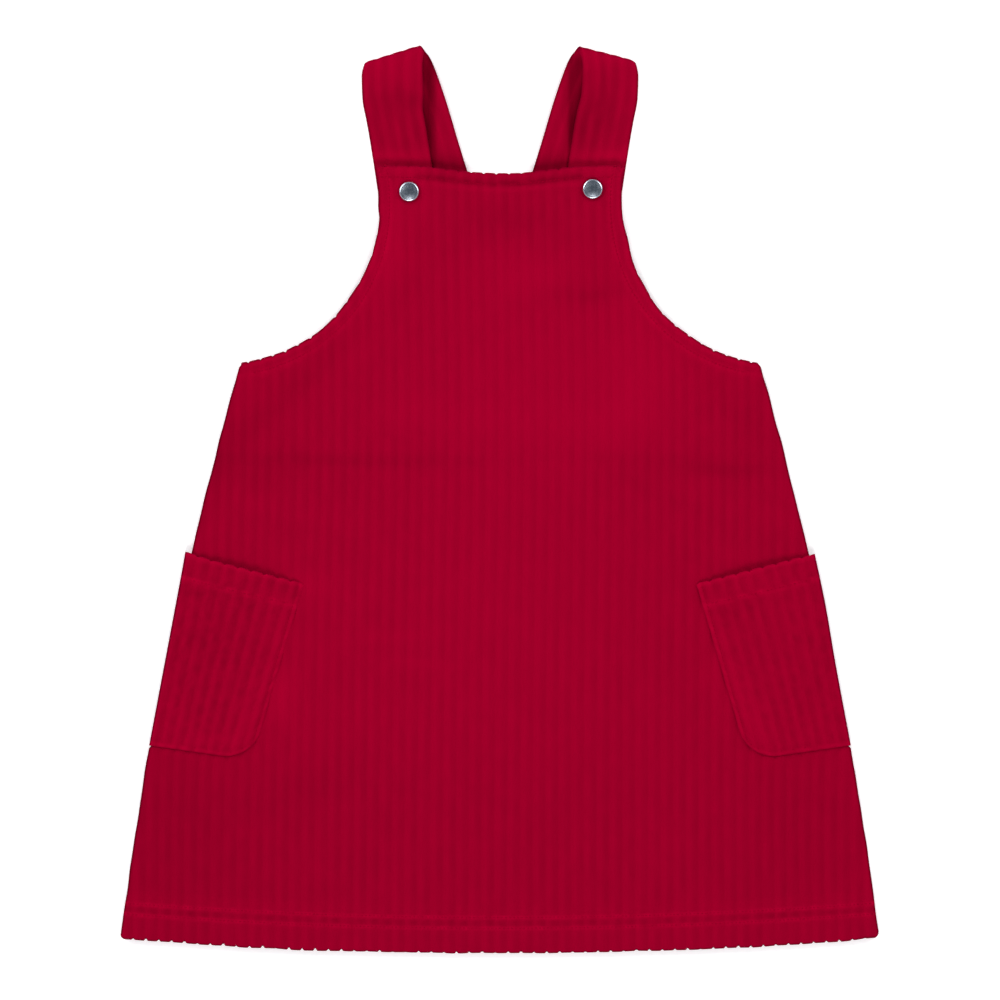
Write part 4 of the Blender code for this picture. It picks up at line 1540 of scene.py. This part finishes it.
velourFinish = {
    "Roughness": 0.95,
    "Specular IOR Level": 0.0,
    "Sheen Weight": 0.35,
    "Sheen Roughness": 0.45,
    "Sheen Tint": (0.9, 0.0, 0.12, 1),
}


def tinted(strength):
    # the dye at a strength, as a linear colour
    return tuple(channel * strength for channel in (0.295, 0.0002, 0.018)) + (1,)


def ribVelour(name, groups, contrast, streaks, streakLength):
    material, tree, finish = newMaterial(name, velourFinish)
    pile = addNode(tree, "Group", {"Fleck Scale": 1500.0}, node_tree=groups["pile"]).outputs
    nap = addNode(tree, "Group", {
        # Groove is the painted sheen beside the grooves; Light and Dark are the painted light and shade that
        # the cloth's points carry
        "Crest": tinted(1.0), "Groove": tinted(1.17), "Shade": tinted(0.84), "Light": tinted(1.35),
        "Dark": tinted(0.35), "Rib Contrast": contrast, "Streaks": streaks, "Streak Length": streakLength,
        "Fleck": pile["Fleck"], "Lean": pile["Lean"]}, node_tree=groups["ribShading"]).outputs
    feed(tree, finish["Base Color"], nap["Colour"])
    feed(tree, finish["Normal"], bumpNode(tree, pile["Height"], 0.35, 0.15 * mm))
    return material


def plainCloth(name, groups, light, dark, fleckScale, changes):
    material, tree, finish = newMaterial(name, {**velourFinish, **changes})
    pile = addNode(tree, "Group", {"Fleck Scale": fleckScale}, node_tree=groups["pile"]).outputs
    feed(tree, finish["Base Color"], mixColour(tree, pile["Fleck"], light, dark))
    feed(tree, finish["Normal"], bumpNode(tree, pile["Height"], 0.4, 0.12 * mm))
    return material


def nickel(name, groups, colour, low, high):
    material, tree, finish = newMaterial(name, {"Base Color": colour, "Metallic": 1.0})
    scuffs = addNode(tree, "Group", {"Low": low, "High": high}, node_tree=groups["scuffs"]).outputs
    feed(tree, finish["Roughness"], scuffs["Roughness"])
    feed(tree, finish["Normal"], bumpNode(tree, scuffs["Height"], 0.01, 0.05 * mm))
    return material


# what stands round the dress: floor, light and camera
studio = {
    "frameWidth": 529.2 * mm,  # of the view at the height of the cloth
    "clothHeight": 6.0 * mm,
    "lens": 200.0,
    "sensor": 36.0,
    "cameraY": -0.26 * mm,
    "clipEnd": 20.0,
    "floorSize": 6.0,
    "floorDrop": 0.25 * mm,  # the pile's lowest tips stay above it
    "floorColour": (0.93, 0.93, 0.93, 1),
    "floorGlow": 0.36,  # of the light table under the paper
    "horizon": (0.5, 0.52, 0.55, 1),
    "zenith": (0.045, 0.06, 0.075, 1),
    "zenithFrom": (0.55, 0.9),  # how steeply one looks up where it begins and is whole
}

Lamp = namedtuple("Lamp", "name x y z size power")
lamps = [
    Lamp("softbox_left", -1.15, 0.85, 0.9, 1.3, 16.0),
    Lamp("softbox_right", 1.15, 0.85, 0.9, 1.3, 14.0),
    Lamp("softbox_foot", 0.0, -2.2, 2.9, 1.7, 59.6),
]


def makeFloor():
    bpy.ops.mesh.primitive_plane_add(size=studio["floorSize"])
    floor = bpy.context.object
    floor.name = "floor"
    floor.location.z = -studio["floorDrop"]
    paper, tree, finish = newMaterial("pale_table", {
        "Base Color": studio["floorColour"], "Roughness": 0.9, "Specular IOR Level": 0.1,
        "Emission Color": (1, 1, 1, 1), "Emission Strength": studio["floorGlow"]})
    grain = noiseNode(tree, addNode(tree, "TexCoord").outputs["Object"], 400.0, 2.0)
    feed(tree, finish["Normal"], bumpNode(tree, grain, 0.05, 0.1 * mm))
    floor.data.materials.append(paper)
    floor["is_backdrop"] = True


def makeSky():
    world = bpy.data.worlds.new("studio")
    bpy.context.scene.world = world
    world.use_nodes = True
    tree = world.node_tree
    upward = addNode(tree, "SeparateXYZ", {"Vector": addNode(tree, "TexCoord").outputs["Generated"]})
    share = mapRange(tree, upward.outputs["Z"], *studio["zenithFrom"], 0.0, 1.0, True)
    sky = mixColour(tree, share, studio["horizon"], studio["zenith"])
    feed(tree, tree.nodes["Background"].inputs["Color"], sky)


def addToScene(name, data, place):
    holder = bpy.data.objects.new(name, data)
    holder.location = place
    bpy.context.scene.collection.objects.link(holder)
    return holder


def makeLamps():
    for lamp in lamps:
        light = bpy.data.lights.new(lamp.name, "AREA")
        light.shape = "DISK"
        light.size = lamp.size
        light.energy = lamp.power
        holder = addToScene(lamp.name, light, (lamp.x, lamp.y, lamp.z))
        holder.rotation_euler = (-holder.location).to_track_quat("-Z", "Y").to_euler()
        holder.visible_camera = False


def makeCamera():
    camera = bpy.data.cameras.new("camera")
    camera.lens = studio["lens"]
    camera.sensor_width = studio["sensor"]
    camera.clip_end = studio["clipEnd"]
    distance = studio["frameWidth"] * studio["lens"] / studio["sensor"]
    eye = addToScene("camera", camera, (0, studio["cameraY"], distance + studio["clothHeight"]))
    bpy.context.scene.camera = eye
    bpy.context.scene.view_settings.view_transform = "Standard"


makeFloor()
makeSky()
makeLamps()
makeCamera()
print("studio ready")

groups = {"pile": pileGroup(), "ribShading": ribShadingGroup(), "scuffs": scuffGroup()}
bodyVelour = ribVelour("body_velour", groups, 0.6, 0.5, 0.4)
pocketVelour = ribVelour("pocket_velour", groups, 0.8, 0.9, 0.9)
strapVelour = ribVelour("strap_velour", groups, 0.75, 0.9, 0.25)
wrongSide = plainCloth("velour_wrong_side", groups, tinted(0.9), tinted(0.7), 1100.0, {"Sheen Weight": 0.1})
thread = plainCloth("sewing_thread", groups, tinted(1.15), tinted(0.95), 4000.0,
                    {"Sheen Weight": 0.2, "Roughness": 0.6})
nickelCap = nickel("polished_nickel", groups, (0.55, 0.6, 0.68, 1), 0.24, 0.3)
nickelUnder = nickel("plain_nickel", groups, (0.6, 0.61, 0.62, 1), 0.25, 0.4)
print("materials ready")

frontShell, frontRim, frontFace = makeFront([bodyVelour, wrongSide])
backShell, backRim, backFace = makeBack([bodyVelour, wrongSide])
frontStitches = panelStitches("front_stitches", frontEdges(), frontFace, 1, thread)
backStitches = panelStitches("back_stitches", backEdges(), backFace, -1, thread)
print("front and back sewn")

panelWidth = 2 * sideHalfWidth(dress["hemY"])
rimArea(frontRim)
rimArea(backRim)

pieces = [frontShell, backShell, frontStitches, backStitches]
metalPieces = []
for hand, side in (("left", -1), ("right", 1)):
    patch = makePocket(hand, side, [pocketVelour, wrongSide])
    patchStitches = pocketStitches(hand, side, thread)
    strip, length = makeStrap(hand, side, [strapVelour])
    cap = makeSnapCap(hand, side, nickelCap)
    pieces += [patch, patchStitches, strip]
    metalPieces.append(cap)
    for node in ("snap_socket_" + hand, "snap_stud_" + hand):
        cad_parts[node].data.materials.clear()
        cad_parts[node].data.materials.append(nickelUnder)
print("pockets, straps and snaps placed")

for piece in pieces + metalPieces:
    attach(piece, "root")

shownBox = [list(corner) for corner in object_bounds()]
print("shown size in mm:", [round((high - low) / mm, 1) for low, high in zip(shownBox[0], shownBox[1])])
